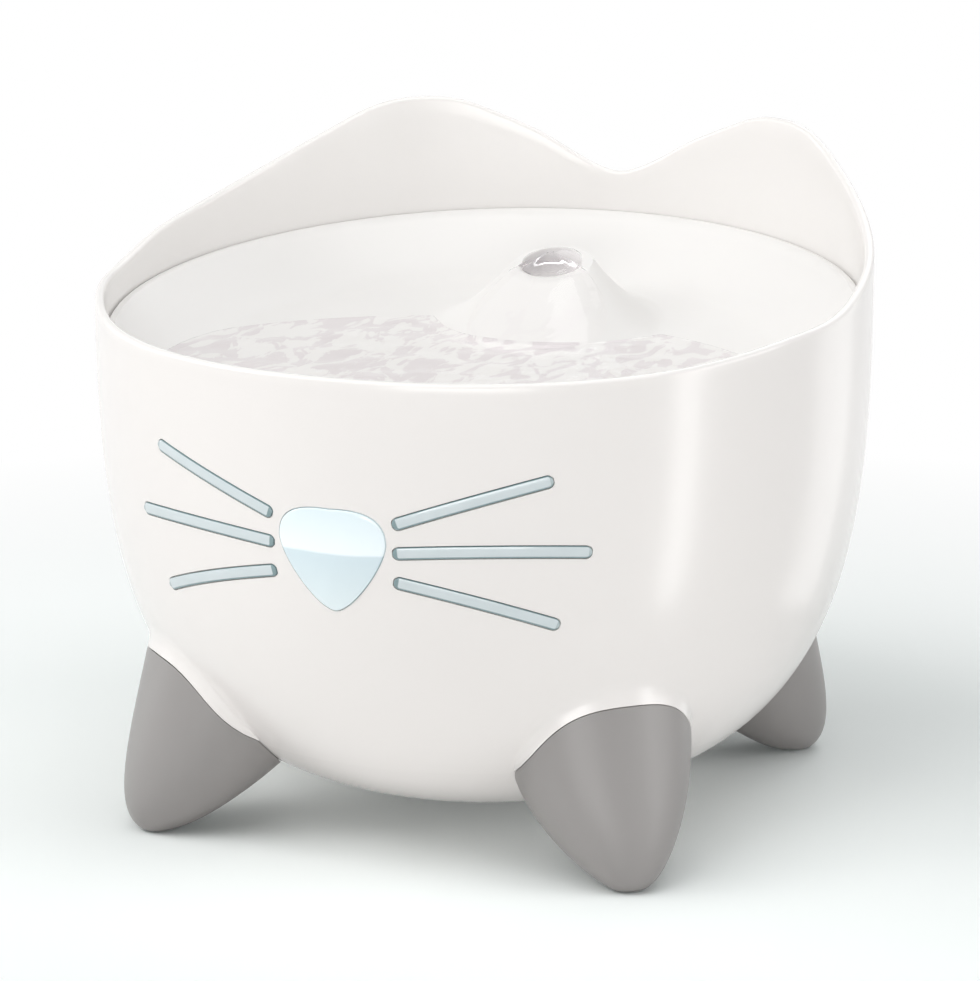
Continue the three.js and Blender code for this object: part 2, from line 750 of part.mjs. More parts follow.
function reservoirShell() {
  const core = bowlCore(shellWall / 2);
  const noseHole = loft([
    noseRing(seatGap, 1, cutOverrun),
    noseRing(seatGap, 1, -shellWall - cutOverrun),
  ]);
  const noseSeat = loft(
    [
      noseRing(0, 1, noseSeatDepth - shellWall),
      noseRing(noseFlange + seatGap, 1, noseSeatDepth - shellWall),
      noseRing(noseFlange + seatGap, 1, -shellWall - cutOverrun),
      noseRing(0, 1, -shellWall - cutOverrun),
    ],
    true,
  );
  const grooves = [-1, 1].flatMap((side) =>
    whiskers.map((whisker) => whiskerStrip(whisker, side, seatGap, cutOverrun)),
  );
  const grown = join(
    bowlWall(),
    ...legs.map(({ azimuth }) => legHood(azimuth, core)),
    ...legs.map(({ azimuth }) => legPost(azimuth, core)),
    ...legs.map(({ azimuth }) => trayLug(azimuth)),
  );
  return cut(grown, noseHole, noseSeat, grommetHole(), ...grooves);
}

// The drinking dish: edge lip, steep band, shallow basin and the mound of the spout.
const bandEase = 1.3;
function dishHeight(x, y) {
  const radius = Math.hypot(x, y);
  const inset = Math.max(dishRadius - dishLip - radius, 0);
  const edge = edgeHeight(y);
  if (inset <= bandWidth) return edge - bandDrop * (1 - (1 - inset / bandWidth) ** bandEase);
  const deep = (inset - bandWidth) / (dishRadius - dishLip - bandWidth);
  return edge - bandDrop - basinDrop * (1 - (1 - deep) ** 2);
}

// A ring on the mound at a share of the way from its crown, 0, to its foot, 1.
function moundRing(share, sink) {
  const centre = spoutOffset - moundFootShift * share;
  const radius = moundCrownRadius + (moundFootRadius - moundCrownRadius) * share;
  return azimuths(dishSides).map((azimuth) => {
    const p = polar(radius, azimuth, 0);
    const x = p.x;
    const y = p.y + centre;
    const foot = dishHeight(x, y);
    const crown = moundTop + (moundTilt * moundCrownRadius * p.y) / radius;
    const height = foot + (crown - foot) * (1 - share) ** moundFlareShare;
    return new THREE.Vector3(x, y, height - sink);
  });
}

// A ring of the basin between the mound's foot, 0, and the foot of the band, 1.
function basinRing(share, sink) {
  const bandFoot = dishRadius - dishLip - bandWidth;
  return azimuths(dishSides).map((azimuth) => {
    const near = polar(moundFootRadius, azimuth, 0);
    near.y += spoutOffset - moundFootShift;
    const far = polar(bandFoot, azimuth, 0);
    const p = near.lerp(far, share);
    p.z = dishHeight(p.x, p.y) - sink;
    return p;
  });
}

function bandRing(share, sink) {
  const radius = dishRadius - dishLip - bandWidth * (1 - share);
  return azimuths(dishSides).map((azimuth) => {
    const p = polar(radius, azimuth, 0);
    p.z = dishHeight(p.x, p.y) - sink;
    return p;
  });
}

function edgeRing(radius, sink) {
  return azimuths(dishSides).map((azimuth) => {
    const p = polar(radius, azimuth, 0);
    p.z = edgeHeight(p.y) - sink;
    return p;
  });
}

// A ring of the spout's socket, whose height rises towards the back by a tilt.
function socketRing(radius, height, tilt = 0) {
  return azimuths(dishSides).map((azimuth) => {
    const p = polar(radius, azimuth, height);
    p.z += p.y * tilt;
    p.y += spoutOffset;
    return p;
  });
}

function drinkingDish() {
  const moundShares = [0, 0.1, 0.28, 0.5, 0.75];
  const underMoundShares = [0.5];
  const basinShares = [0, 0.34, 0.68];
  const bandShares = [0, 0.3, 0.6, 0.85];
  const underBandShares = [0.6, 0];
  const plate = loft(
    [
      socketRing(moundMouthRadius, moundTop - moundLipBevel, moundTilt),
      ...moundShares.map((share) => moundRing(share, 0)),
      ...basinShares.map((share) => basinRing(share, 0)),
      ...bandShares.map((share) => bandRing(share, 0)),
      edgeRing(dishRadius - dishLip, 0),
      edgeRing(dishRadius, 0),
      edgeRing(dishRadius, dishWall),
      edgeRing(dishRadius - dishLip, dishWall),
      ...underBandShares.map((share) => bandRing(share, dishWall)),
      basinRing(0, dishWall),
      ...underMoundShares.map((share) => moundRing(share, dishWall)),
      socketRing(moundCrownRadius, moundTop - dishWall, moundTilt),
      socketRing(socketBore + socketWall, socketFoot),
      socketRing(socketBore, socketFoot),
      socketRing(socketBore, nozzleSeatHeight),
      socketRing(moundMouthRadius, nozzleSeatHeight),
    ],
    true,
  );
  const slotRadius = dishRadius - dishLip - drainInset - drainDepth / 2;
  const slots = [-1, 1].flatMap((side) =>
    Array.from({ length: drainCount }, (_, i) => {
      const share = i / (drainCount - 1);
      const azimuth = drainNearAzimuth + (drainFarAzimuth - drainNearAzimuth) * share;
      const height = edgeHeight(-slotRadius);
      const slot = block(drainDepth, drainWidth, bandDrop * 2, slotRadius, 0, height - bandDrop / 2);
      return turnedTo(slot, azimuth * side);
    }),
  );
  return cut(plate, ...slots);
}

function spoutNozzle() {
  const outer = moundMouthRadius - seatGap;
  const inner = outer - socketWall;
  const low = nozzleSeatHeight + seatGap;
  const high = low + nozzleHeight;
  const bar = socketWall / 2;
  const middle = (low + high) / 2;
  const thick = (high - low) / 2;
  const across = block((inner + bar) * 2, bar, thick, 0, 0, middle);
  return join(ring(inner, outer, low, high), across, across.rotate([0, 0, 90]))
    .translate([0, spoutOffset, 0]);
}

// Filter tray: slotted floor, rim and a collar that the hose passes through.
const hoseHole = hoseRadius + hoseClearance;
const collarOuter = hoseHole + trayCollarWall;
// The tray's front is cut straight, to pass the nose window's flange.
const trayFlat =
  Math.sqrt(
    (outerRadius(trayHeight) - flangeDepth - noseFlangeThickness) ** 2 -
      (noseHalfWidth + noseFlange) ** 2,
  ) - seatGap;

// A disc whose front is cut straight, both moved in by an inset.
function flatFronted(inset, low, high) {
  const span = trayRadius * 2;
  const front = block(span, span, span, 0, -(trayFlat - inset) - span / 2, (low + high) / 2);
  return cut(ring(0, trayRadius - inset, low, high, discSides), front);
}

function filterTray() {
  const slotField = trayRadius - trayRimWall - trayLugLength;
  const rows = 2 * Math.floor(slotField / traySlotPitchY) + 1;
  const columns = 2 * Math.floor(slotField / traySlotPitchX);
  const slots = [];
  for (let row = 0; row < rows; row += 1) {
    for (let column = 0; column < columns; column += 1) {
      const x = (column - (columns - 1) / 2) * traySlotPitchX;
      const y = (row - (rows - 1) / 2) * traySlotPitchY;
      const far = Math.hypot(Math.abs(x) + traySlotLength / 2, Math.abs(y) + traySlotWidth / 2);
      const nearX = Math.max(Math.abs(x) - traySlotLength / 2, 0);
      const nearY = Math.max(Math.abs(y - spoutOffset) - traySlotWidth / 2, 0);
      if (far > slotField || Math.hypot(nearX, nearY) < collarOuter + trayRimWall) continue;
      slots.push(block(traySlotLength, traySlotWidth, trayFloor * 3, x, y, trayHeight + trayFloor / 2));
    }
  }
  const top = trayHeight + trayRimHeight;
  const basin = flatFronted(trayRimWall, trayHeight + trayFloor, top + cutOverrun);
  const collar = ring(0, collarOuter, trayHeight, top).translate([0, spoutOffset, 0]);
  const passage = ring(0, hoseHole, trayHeight - cutOverrun, top + cutOverrun);
  return cut(
    join(cut(flatFronted(0, trayHeight, top), basin), collar),
    passage.translate([0, spoutOffset, 0]),
    ...slots,
  );
}

function filterPad() {
  const low = trayHeight + trayFloor + seatGap;
  const high = low + filterPadThickness;
  const hole = ring(0, collarOuter + filterPadClearance, low - cutOverrun, high + cutOverrun);
  return cut(
    flatFronted(trayRimWall + filterPadClearance, low, high),
    hole.translate([0, spoutOffset, 0]),
  );
}

// Pump: motor block, impeller chamber, rotor well, outlet and lead inlet.
const wellEnd = chamberFront + chamberFloor - rotorWellDepth;
const onPumpAxis = (body) => alongY(body).translate([0, 0, pumpAxis]);

function pumpBody() {
  const motor = sleeve(pumpWidth, pumpHeight, pumpCorner, -pumpFront, chamberFront + chamberFloor);
  const chamber = onPumpAxis(ring(0, chamberRadius, chamberFront, chamberBack, roundSides));
  const chamberHole = onPumpAxis(
    ring(0, chamberRadius - chamberWall, chamberFront + chamberFloor, chamberBack + cutOverrun, roundSides),
  );
  const well = onPumpAxis(ring(0, rotorWellRadius, wellEnd, chamberBack, roundSides));
  const bushSeat = onPumpAxis(ring(0, bushRadius + seatGap, wellEnd - bushLength, chamberBack, smallSides));
  const outletTop = pumpTop + outletLength;
  const outlet = ring(0, outletRadius, pumpAxis + chamberRadius - chamberWall, outletTop, roundSides);
  const outletHole = ring(0, outletBore, pumpAxis, outletTop + cutOverrun, roundSides);
  const bossTop = pumpTop + inletBossHeight;
  const boss = ring(0, inletBossRadius, pumpTop - inletBossHeight, bossTop, smallSides);
  const bossHole = ring(0, inletBossBore, pumpTop, bossTop + cutOverrun, smallSides);
  const bossPlace = [0, -(pumpFront - inletBossRadius * 2), 0];
  const lampSeat = onPumpAxis(
    ring(0, lampRadius + seatGap, -pumpFront - cutOverrun, -pumpFront + lampSkirt + seatGap, roundSides),
  );
  const stems = cupPlaces.map(([x, y]) => {
    const top = pumpBottom + cupStemDepth + seatGap;
    return ring(0, cupStemRadius + seatGap, pumpBottom - cutOverrun, top, smallSides).translate([x, y, 0]);
  });
  return cut(
    join(motor, chamber, outlet.translate([0, outletOffset, 0]), boss.translate(bossPlace)),
    chamberHole,
    well,
    bushSeat,
    outletHole.translate([0, outletOffset, 0]),
    bossHole.translate(bossPlace),
    lampSeat,
    ...stems,
  );
}

function suctionCup([x, y]) {
  const lip = cupHeight / 4;
  const top = floorTop + seatGap;
  const stemTop = pumpBottom + cupStemDepth;
  const profile = [
    [0, top + lip],
    [cupRadius - lip, top],
    [cupRadius, top],
    [cupStemRadius * 2, top + lip * 2],
    [cupStemRadius * 2, pumpBottom - seatGap],
    [cupStemRadius, pumpBottom - seatGap],
    [cupStemRadius, stemTop],
    [0, stemTop],
  ];
  return turned(profile, smallSides).translate([x, y, 0]);
}

// The lamp's dome, as shares of its radius and of its height.
const lampDomeShares = [[1, 0], [0.85, 0.5], [0.45, 0.875], [0, 1]];
function pumpLamp() {
  const back = -pumpFront + lampSkirt;
  const profile = [
    [0, back],
    [lampRadius, back],
    ...lampDomeShares.map(([out, up]) => [lampRadius * out, -pumpFront - lampDome * up]),
  ];
  return onPumpAxis(turned(profile, roundSides));
}

const magnetFront = wellEnd + seatGap * 2;
const impellerFront = chamberFront + chamberFloor + seatGap * 3;
const impellerBack = impellerFront + impellerWidth;
const coverFront = chamberBack - coverThickness;
function rotorMagnet() {
  return onPumpAxis(ring(magnetBore, magnetRadius, magnetFront, impellerFront - seatGap, roundSides));
}

function impeller() {
  const hub = ring(magnetBore, impellerHub, impellerFront, impellerBack, roundSides);
  const reach = impellerRadius - magnetBore - seatGap;
  const vanes = Array.from({ length: impellerVaneCount }, (_, i) => {
    const middle = impellerRadius - reach / 2;
    const vane = block(reach, impellerVane, impellerWidth, middle, 0, impellerFront + impellerWidth / 2);
    return vane.rotate([0, 0, (i * 360) / impellerVaneCount]);
  });
  return onPumpAxis(join(hub, ...vanes));
}

const innerBushFront = wellEnd - bushLength + seatGap;
const outerBushBack = coverFront + bushLength - seatGap;
function impellerShaft() {
  return onPumpAxis(ring(0, shaftRadius, innerBushFront, outerBushBack, smallSides));
}

function shaftBush(front) {
  const length = bushLength - seatGap * 2;
  return onPumpAxis(ring(shaftRadius + seatGap, bushRadius, front, front + length, smallSides));
}

// The disc over the impeller, with a hub for the outer bush in its ring-shaped inlet.
function impellerCover() {
  const back = coverFront + coverThickness;
  const spigot = ring(coverInletOuter, chamberRadius - chamberWall - seatGap, coverFront, back, roundSides);
  const flange = ring(
    coverInletOuter,
    chamberRadius - seatGap,
    chamberBack + seatGap,
    chamberBack + coverThickness,
    roundSides,
  );
  const hubBack = chamberBack + coverThickness;
  const hub = ring(0, coverInletInner, coverFront, hubBack, roundSides);
  const web = ring(
    coverInletOuter,
    coverInletOuter + coverSpokeWidth,
    coverFront,
    hubBack,
    roundSides,
  );
  const spokes = Array.from({ length: coverSpokeCount }, (_, i) => {
    const middle = (coverInletInner + coverInletOuter) / 2;
    const length = coverInletOuter - coverInletInner + coverSpokeWidth;
    return block(length, coverSpokeWidth, coverThickness, middle, 0, coverFront + coverThickness / 2)
      .rotate([0, 0, (i * 360) / coverSpokeCount + 90]);
  });
  const bushHole = ring(0, bushRadius + seatGap, coverFront - cutOverrun, outerBushBack + seatGap, smallSides);
  return onPumpAxis(cut(join(spigot, flange, hub, web, ...spokes), bushHole));
}

// Intake cap: a cup with slots in its end and rails for the slider.
const intakeFront = chamberBack + coverThickness + seatGap;
const intakeBack = intakeFront + intakeLength;
const intakeCorner = pumpCorner / 2;
const sliderRise = intakeHeight / 2 - intakeWall - sliderHeight / 2 - railHeight;
function intakeCover() {
  const cup = sleeve(intakeWidth, intakeHeight, intakeCorner, intakeFront, intakeBack);
  const hollow = sleeve(
    intakeWidth - intakeWall * 2,
    intakeHeight - intakeWall * 2,
    intakeCorner,
    intakeFront - cutOverrun,
    intakeBack - intakeWall,
  );
  const slots = Array.from({ length: intakeSlotCount }, (_, i) => {
    const x = (i - (intakeSlotCount - 1) / 2) * intakeSlotPitch;
    return block(intakeSlotWidth, intakeWall * 4, intakeSlotHeight, x, intakeBack, pumpAxis);
  });
  const rails = [-1, 1].flatMap((side) => {
    const z = pumpAxis + side * (sliderHeight / 2 + seatGap + railHeight / 2);
    const out = sliderThickness + seatGap * 2;
    const length = sliderWidth + sliderTravel;
    const x = 0;
    const wall = block(length, out + intakeWall, railHeight, x, intakeBack + (out - intakeWall) / 2, z);
    const lipRise = railHeight + railLip;
    const lipZ = z - (side * railLip) / 2;
    const lip = block(length, railLip, lipRise, x, intakeBack + out + railLip / 2, lipZ);
    return [wall, lip];
  });
  return join(cut(cup, hollow, ...slots), ...rails);
}

function intakeFoam() {
  const margin = (intakeWall + foamMargin) * 2;
  const front = intakeFront + foamMargin;
  const back = intakeBack - intakeWall - seatGap;
  return sleeve(intakeWidth - margin, intakeHeight - margin, intakeCorner, front, back);
}

function flowSlider() {
  const front = intakeBack + seatGap;
  const plate = block(
    sliderWidth - sliderTravel,
    sliderThickness,
    sliderHeight,
    -sliderTravel / 2,
    front + sliderThickness / 2,
    pumpAxis,
  );
  const thumb = block(
    railHeight,
    sliderThickness * 2,
    sliderHeight / 2,
    -sliderTravel / 2,
    front + sliderThickness,
    pumpAxis,
  );
  return join(plate, thumb);
}

// The hose runs up from the outlet, bends back and runs up again into the dish's socket.
const hoseFoot = pumpTop + seatGap;
const hoseBendSteps = 9;
const hosePullShare = 0.55; // how far each end of the bend stays upright
function riserHose() {
  const bendFoot = hoseFoot + hoseStraight;
  const pull = (hoseBendTop - bendFoot) * hosePullShare;
  const at = (y, z) => new THREE.Vector3(0, y, z);
  const bend = new THREE.CubicBezierCurve3(
    at(outletOffset, bendFoot),
    at(outletOffset, bendFoot + pull),
    at(spoutOffset, hoseBendTop - pull),
    at(spoutOffset, hoseBendTop),
  );
  const up = at(0, 1);
  const stations = [
    [at(outletOffset, hoseFoot), up],
    ...Array.from({ length: hoseBendSteps + 1 }, (_, i) => [
      bend.getPoint(i / hoseBendSteps),
      bend.getTangent(i / hoseBendSteps),
    ]),
    [at(spoutOffset, hoseTop), up],
  ];
  const sideways = new THREE.Vector3(1, 0, 0);
  const rings = (radius) =>
    stations.map(([centre, tangent]) => {
      const across = new THREE.Vector3().crossVectors(tangent, sideways);
      return Array.from({ length: smallSides }, (_, i) => {
        const angle = (i * 2 * Math.PI) / smallSides;
        return centre
          .clone()
          .addScaledVector(sideways, radius * Math.cos(angle))
          .addScaledVector(across, radius * Math.sin(angle));
      });
    });
  return loft([...rings(hoseRadius), ...rings(hoseBore).reverse()], true);
}

function cableGrommet() {
  const inside = innerRadius(wallFootHeight) - seatGap;
  const outside = grommetSeat + seatGap;
  const low = inside - grommetFlangeThickness;
  const high = outside + grommetFlangeThickness;
  const profile = [
    [grommetBore, low],
    [grommetFlange, low],
    [grommetFlange, inside],
    [grommetRadius, inside],
    [grommetRadius, outside],
    [grommetFlange, outside],
    [grommetFlange - grommetTaper, high],
    [grommetBore, high],
  ];
  return alongY(turned(profile, smallSides)).translate([0, 0, grommetHeight]);
}

// Finishes
const finish = (color, roughness, metalness = 0) =>
  new THREE.MeshStandardMaterial({ color, roughness, metalness });
const finishes = {
  shell: finish(0xf6f4f1, 0.22),
  dish: finish(0xf5f4f2, 0.25),
  leg: finish(0xa9a6a3, 0.6),
  window: finish(0xcfe4ea, 0.08),
  whisker: finish(0xc3d9dc, 0.15),
  rubber: finish(0x3a3b3d, 0.8),
  seal: finish(0xd9dcdc, 0.6),
  screw: finish(0x9a9c9f, 0.35, 0.9),
  tray: finish(0xe9eaea, 0.4),
  felt: finish(0xe6e3da, 0.95),
  pump: finish(0x2e3033, 0.5),
  pumpTrim: finish(0x4a4d50, 0.5),
  lamp: finish(0xe4f3f7, 0.1),
  magnet: finish(0x4b4742, 0.45, 0.4),
  ceramic: finish(0xf0eee8, 0.25),
  foam: finish(0x3f4347, 1),
  hose: finish(0xdfe5e6, 0.35),
};

const fountain = new THREE.Group();
function add(name, body, material) {
  const mesh = new THREE.Mesh(geometryOf(body), finishes[material]);
  mesh.name = name;
  fountain.add(mesh);
}

add("reservoir_shell", reservoirShell(), "shell");
add("nose_window", noseWindow(), "window");
add("nose_gasket", noseGasket(), "seal");
for (const [sideName, side] of [["left", -1], ["right", 1]]) {
  for (const whisker of whiskers) {
    const strip = whiskerStrip(whisker, side, 0, whiskerProud);
    add(`whisker_${sideName}_${whisker.name}`, strip, "whisker");
  }
}
const clearOfBowl = bowlCore(-seatGap);
for (const { name, azimuth } of legs) {
  add(`leg_${name}`, leg(azimuth, clearOfBowl), "leg");
  add(`leg_screw_${name}`, legScrew(azimuth), "screw");
  add(`foot_pad_${name}`, footPad(azimuth), "rubber");
}
add("cable_grommet", cableGrommet(), "rubber");
add("drinking_dish", drinkingDish(), "dish");
add("spout_nozzle", spoutNozzle(), "dish");
add("filter_tray", filterTray(), "tray");
add("filter_pad", filterPad(), "felt");
add("pump_body", pumpBody(), "pump");
add("pump_lamp", pumpLamp(), "lamp");
add("rotor_magnet", rotorMagnet(), "magnet");
add("impeller", impeller(), "pumpTrim");
add("impeller_shaft", impellerShaft(), "ceramic");
add("shaft_bush_inner", shaftBush(innerBushFront), "rubber");
add("shaft_bush_outer", shaftBush(outerBushBack - bushLength + seatGap * 2), "rubber");
add("impeller_cover", impellerCover(), "pumpTrim");
add("intake_foam", intakeFoam(), "foam");
add("intake_cover", intakeCover(), "pumpTrim");
add("flow_slider", flowSlider(), "lamp");
add("riser_hose", riserHose(), "hose");
cupPlaces.forEach((place, i) => add(`suction_cup_${i + 1}`, suctionCup(place), "seal"));

export default fountain;
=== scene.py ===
"""Pet water fountain: the finished look of the eared bowl, its dish, water, legs, nose and whiskers.
Sizes are millimetres until a mesh is made, and an azimuth is measured from the nose towards +X."""
import bmesh
import bpy
import math
import numpy as np
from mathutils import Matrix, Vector
from mathutils.bvhtree import BVHTree


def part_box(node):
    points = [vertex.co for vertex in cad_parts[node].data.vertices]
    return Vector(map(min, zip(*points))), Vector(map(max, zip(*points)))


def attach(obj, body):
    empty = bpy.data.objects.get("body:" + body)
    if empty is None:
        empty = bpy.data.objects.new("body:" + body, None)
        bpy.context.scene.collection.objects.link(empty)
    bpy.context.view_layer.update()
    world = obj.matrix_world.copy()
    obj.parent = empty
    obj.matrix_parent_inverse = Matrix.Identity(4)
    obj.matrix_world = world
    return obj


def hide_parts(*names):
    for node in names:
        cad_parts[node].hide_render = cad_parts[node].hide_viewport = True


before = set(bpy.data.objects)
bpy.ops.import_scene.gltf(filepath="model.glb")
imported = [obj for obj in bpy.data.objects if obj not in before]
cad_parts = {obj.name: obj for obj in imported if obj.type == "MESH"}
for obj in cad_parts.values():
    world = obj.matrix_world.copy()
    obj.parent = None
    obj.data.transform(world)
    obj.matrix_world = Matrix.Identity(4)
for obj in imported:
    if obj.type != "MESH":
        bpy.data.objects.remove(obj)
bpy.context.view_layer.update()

MM = 0.001
DEGREE = math.pi / 180

# Bowl
BOWL_RADIUS = 114.0
SHELL_WALL = 2.8
INNER_RADIUS = BOWL_RADIUS - SHELL_WALL
RIM_FRONT = 149.0
EAR_PEAK = 192.28
REAR_VALLEY = 169.6
EAR_AZIMUTH = 148.0
RIM_ROUND = 1.2
LEDGE_WIDTH = 2.4
LEDGE_DEPTH = 2.0
FLOOR_TOP = 9.4
FLOOR_RADIUS = 31.42
SIDE_CURVE = ((0, 4.4), (99.6, 4.4), (114, 58.4), (114, 148.4))
BOWL_SIDES = 480
HOOD_TOP, WALL_MIDDLE, WALL_FOOT = 84, 126, 30
LEAD_HEIGHT, LEAD_RADIUS = 126, 4.3
LUG_INNER, LUG_HALF_WIDTH, LUG_LOW, LUG_TOP = 103.8, 4.5, 96.7, 101.7
LUG_ROOT_HEIGHT, LUG_SINK, LUG_SOFTENING = 102, 0.6, 0.6

# Legs and hoods
LEG_AZIMUTHS = {"front_right": 45, "front_left": -45, "rear_right": 135, "rear_left": -135}
LEG_OUTER = ((100.5, 67), (106, 35), (119.6, 8), (109, 0.6))
LEG_INNER = ((66, 19), (77, 12.4), (92, 0.9), (98.5, 0.6))
LEG_HALF_WIDTHS = ((0, 25.7), (0, 27.6), (0, 11.8), (0, 5.5))
LEG_ROUNDNESS = 2.26
HORN_LOW, HORN_HIGH = 12, 76
SEAM_POINT = (104.7, 54.0)
SEAM_SLOPE = 0.65
SEAM_ARCH = 9.0
SEAM_ARCH_HALF = 26.0
SEAM_REACH = 17.5
FILLET = 1.6
SEAT_GAP = 0.3

# Dish and spout
DISH_RADIUS = 110.7
DISH_LIP = 2.2
DISH_INNER = DISH_RADIUS - DISH_LIP
DISH_WALL = 2.6
DISH_SIDES = 288
EDGE_AXIS_HEIGHT = 146.6
EDGE_SLOPE = 0.0965
BAND_WIDTH, BAND_DROP, BAND_EASE = 21.0, 15.5, 1.3
BASIN_DROP = 8.0
SPOUT_Y = 55.0
MOUND_TOP, MOUND_TILT, MOUND_FLARE = 150.2, 0.26, 1.4
MOUTH_RADIUS, CROWN_RADIUS, FOOT_RADIUS, FOOT_SHIFT = 8.6, 12.4, 37.0, 8.0
NOZZLE_SEAT, SOCKET_FOOT = 141.0, 117.0
SOCKET_BORE, SOCKET_OUTER = 7.4, 9.6
MOUTH_ROUND = 1.9
MOUND_SHARES = (0, 0.03, 0.07, 0.12, 0.18, 0.25, 0.33, 0.41, 0.5, 0.6, 0.7, 0.8, 0.9)
SLOT_AZIMUTHS, SLOT_RADIUS, SLOT_HALF_LENGTH, SLOT_INSET = (25, 34, 43), 1.7, 3.3, 3.4
POOL_LEVEL, POOL_MIDDLE, POOL_SEED = 132.0, -28.0, 7
WELL_FLOOR, WELL_RADIUS, STREAM_LENGTH, STREAM_SEED = 144.9, 9.2, 34, 11
WATER_BED = 0.3

# Nose and whiskers
NOSE_HALF_WIDTH, NOSE_TIP, NOSE_HEIGHT = 15.8, 82.5, 29.5
NOSE_MIDDLE = NOSE_TIP + NOSE_HEIGHT / 2
NOSE_CHEEK = ((0, 1), (0.62, 1.02), (1, 0.95), (1, 0.7))
NOSE_CHIN = ((1, 0.7), (1, 0.5), (0.32, 0), (0, 0))
NOSE_BULGE = 1.6
NOSE_FLANGE = 3.0
FLANGE_DEPTH = 3.8
WATER_LINE = 99.6
WHISKER_START = 10.0
WHISKER_HALF_WIDTH = 1.7
GROOVE_SECTION, INLAY_SECTION = (-1.6, 5, 0), (-1.3, 0.3, 0.12)
WHISKERS = {
    "upper": ((109.3, 116.0, 121.5), 30.8),
    "middle": ((100.7, 101.8, 100.9), 36.5),
    "lower": ((92.0, 86.9, 80.1), 32.2),
}

# Filter pad and hose
PAD_LOW, PAD_HIGH, PAD_RADIUS, PAD_FLAT, PAD_HOLE = 104.5, 112.5, 105.0, 101.7, 10.6
PAD_ROUND, PAD_PUFF, PAD_SEWING = 2.6, 1.1, 26.25
HOSE_OUTER, HOSE_BORE = 7.0, 5.7
HOSE_LOW = ((18.0, 48.7), (18.0, 53.0))
HOSE_BEND = ((18, 57.7), (18, 79.9), (55, 75.8), (55, 98))
HOSE_HIGH = (104, 112, 120, 128, 134, 139.0)

# The floor turns white between these distances from the middle, in metres
FADE_START, FADE_END = 0.18, 0.46


def bezier(points, shares):
    """Points of a cubic curve at an array of shares, as rows of x and y."""
    p = np.array(points, float)
    t = np.atleast_1d(np.asarray(shares, float))[:, None]
    return (1 - t) ** 3 * p[0] + 3 * t * (1 - t) ** 2 * p[1] + 3 * t**2 * (1 - t) * p[2] + t**3 * p[3]


def bezier_slope(points, shares):
    """Unit tangents of the same curve."""
    p = np.array(points, float)
    t = np.atleast_1d(np.asarray(shares, float))[:, None]
    d = 3 * (1 - t) ** 2 * (p[1] - p[0]) + 6 * t * (1 - t) * (p[2] - p[1]) + 3 * t**2 * (p[3] - p[2])
    return d / np.linalg.norm(d, axis=1)[:, None]


def side_skin(depth):
    """Radius and height along the bowl's side, moved in from the outside by a depth."""
    shares = np.linspace(0, 1, 241)
    point, slope = bezier(SIDE_CURVE, shares), bezier_slope(SIDE_CURVE, shares)
    return point[:, 0] - slope[:, 1] * depth, point[:, 1] + slope[:, 0] * depth


def side_radius(height, depth=0.0):
    radius, level = side_skin(depth)
    return np.interp(height, level, radius)


def along(pairs, share):
    """A smooth value between given pairs of shares, the same rule as the solid model's."""
    last = len(pairs) - 1
    k = next((i for i, pair in enumerate(pairs) if pair[0] > share), last) - 1
    k = min(max(k, 0), last - 1)
    (x0, y0), (x1, y1) = pairs[k], pairs[k + 1]

    def slope(a, b):
        return (pairs[b][1] - pairs[a][1]) / (pairs[b][0] - pairs[a][0])

    start = slope(k - 1, k + 1) if k > 0 else 0
    end = slope(k, k + 2) if k + 1 < last else 0
    width = x1 - x0
    t = (share - x0) / width
    return (y0 * (1 + 2 * t) * (1 - t) ** 2 + y1 * t**2 * (3 - 2 * t)
            + width * t * (1 - t) * (start * (1 - t) - end * t))


EAR_RISE = ((0, 0), (0.2, 0), (0.34, 0.026), (0.48, 0.106), (0.57, 0.15), (0.66, 0.289), (0.73, 0.393),
            (0.81, 0.561), (0.885, 0.764), (0.95, 0.952), (1, 1))
VALLEY_FALL = ((0, 1), (0.19, 0.952), (0.39, 0.753), (0.594, 0.511), (0.78, 0.22), (0.9, 0.062), (1, 0))


def rim_height(azimuth):
    turn = abs((azimuth + 180) % 360 - 180)
    if turn <= EAR_AZIMUTH:
        return RIM_FRONT + (EAR_PEAK - RIM_FRONT) * along(EAR_RISE, turn / EAR_AZIMUTH)
    share = (turn - EAR_AZIMUTH) / (180 - EAR_AZIMUTH)
    return REAR_VALLEY + (EAR_PEAK - REAR_VALLEY) * along(VALLEY_FALL, share)


def edge_height(y):
    return EDGE_AXIS_HEIGHT + EDGE_SLOPE * y


def ring_points(radius, azimuths, height):
    """Points at a radius and height for an array of azimuths; each may be one value or an array."""
    a = np.asarray(azimuths, float) * DEGREE
    radius, height = np.broadcast_to(radius, a.shape), np.broadcast_to(height, a.shape)
    return np.stack([radius * np.sin(a), -radius * np.cos(a), height], axis=1)


def new_object(name, data):
    made = bpy.data.objects.new(name, data)
    bpy.context.scene.collection.objects.link(made)
    return made


def mesh_object(name, points, faces, sharp=40):
    """A new object from points in millimetres, smooth apart from edges sharper than an angle."""
    mesh = bpy.data.meshes.new(name)
    mesh.from_pydata([tuple(p) for p in np.asarray(points, float) * MM], [], faces)
    mesh.update()
    piece = new_object(name, mesh)
    finish_normals(piece, sharp)
    return piece


def finish_normals(piece, sharp=40):
    mesh = piece.data
    mesh.polygons.foreach_set("use_smooth", [True] * len(mesh.polygons))
    mesh.set_sharp_from_angle(angle=sharp * DEGREE)
    mesh.update()


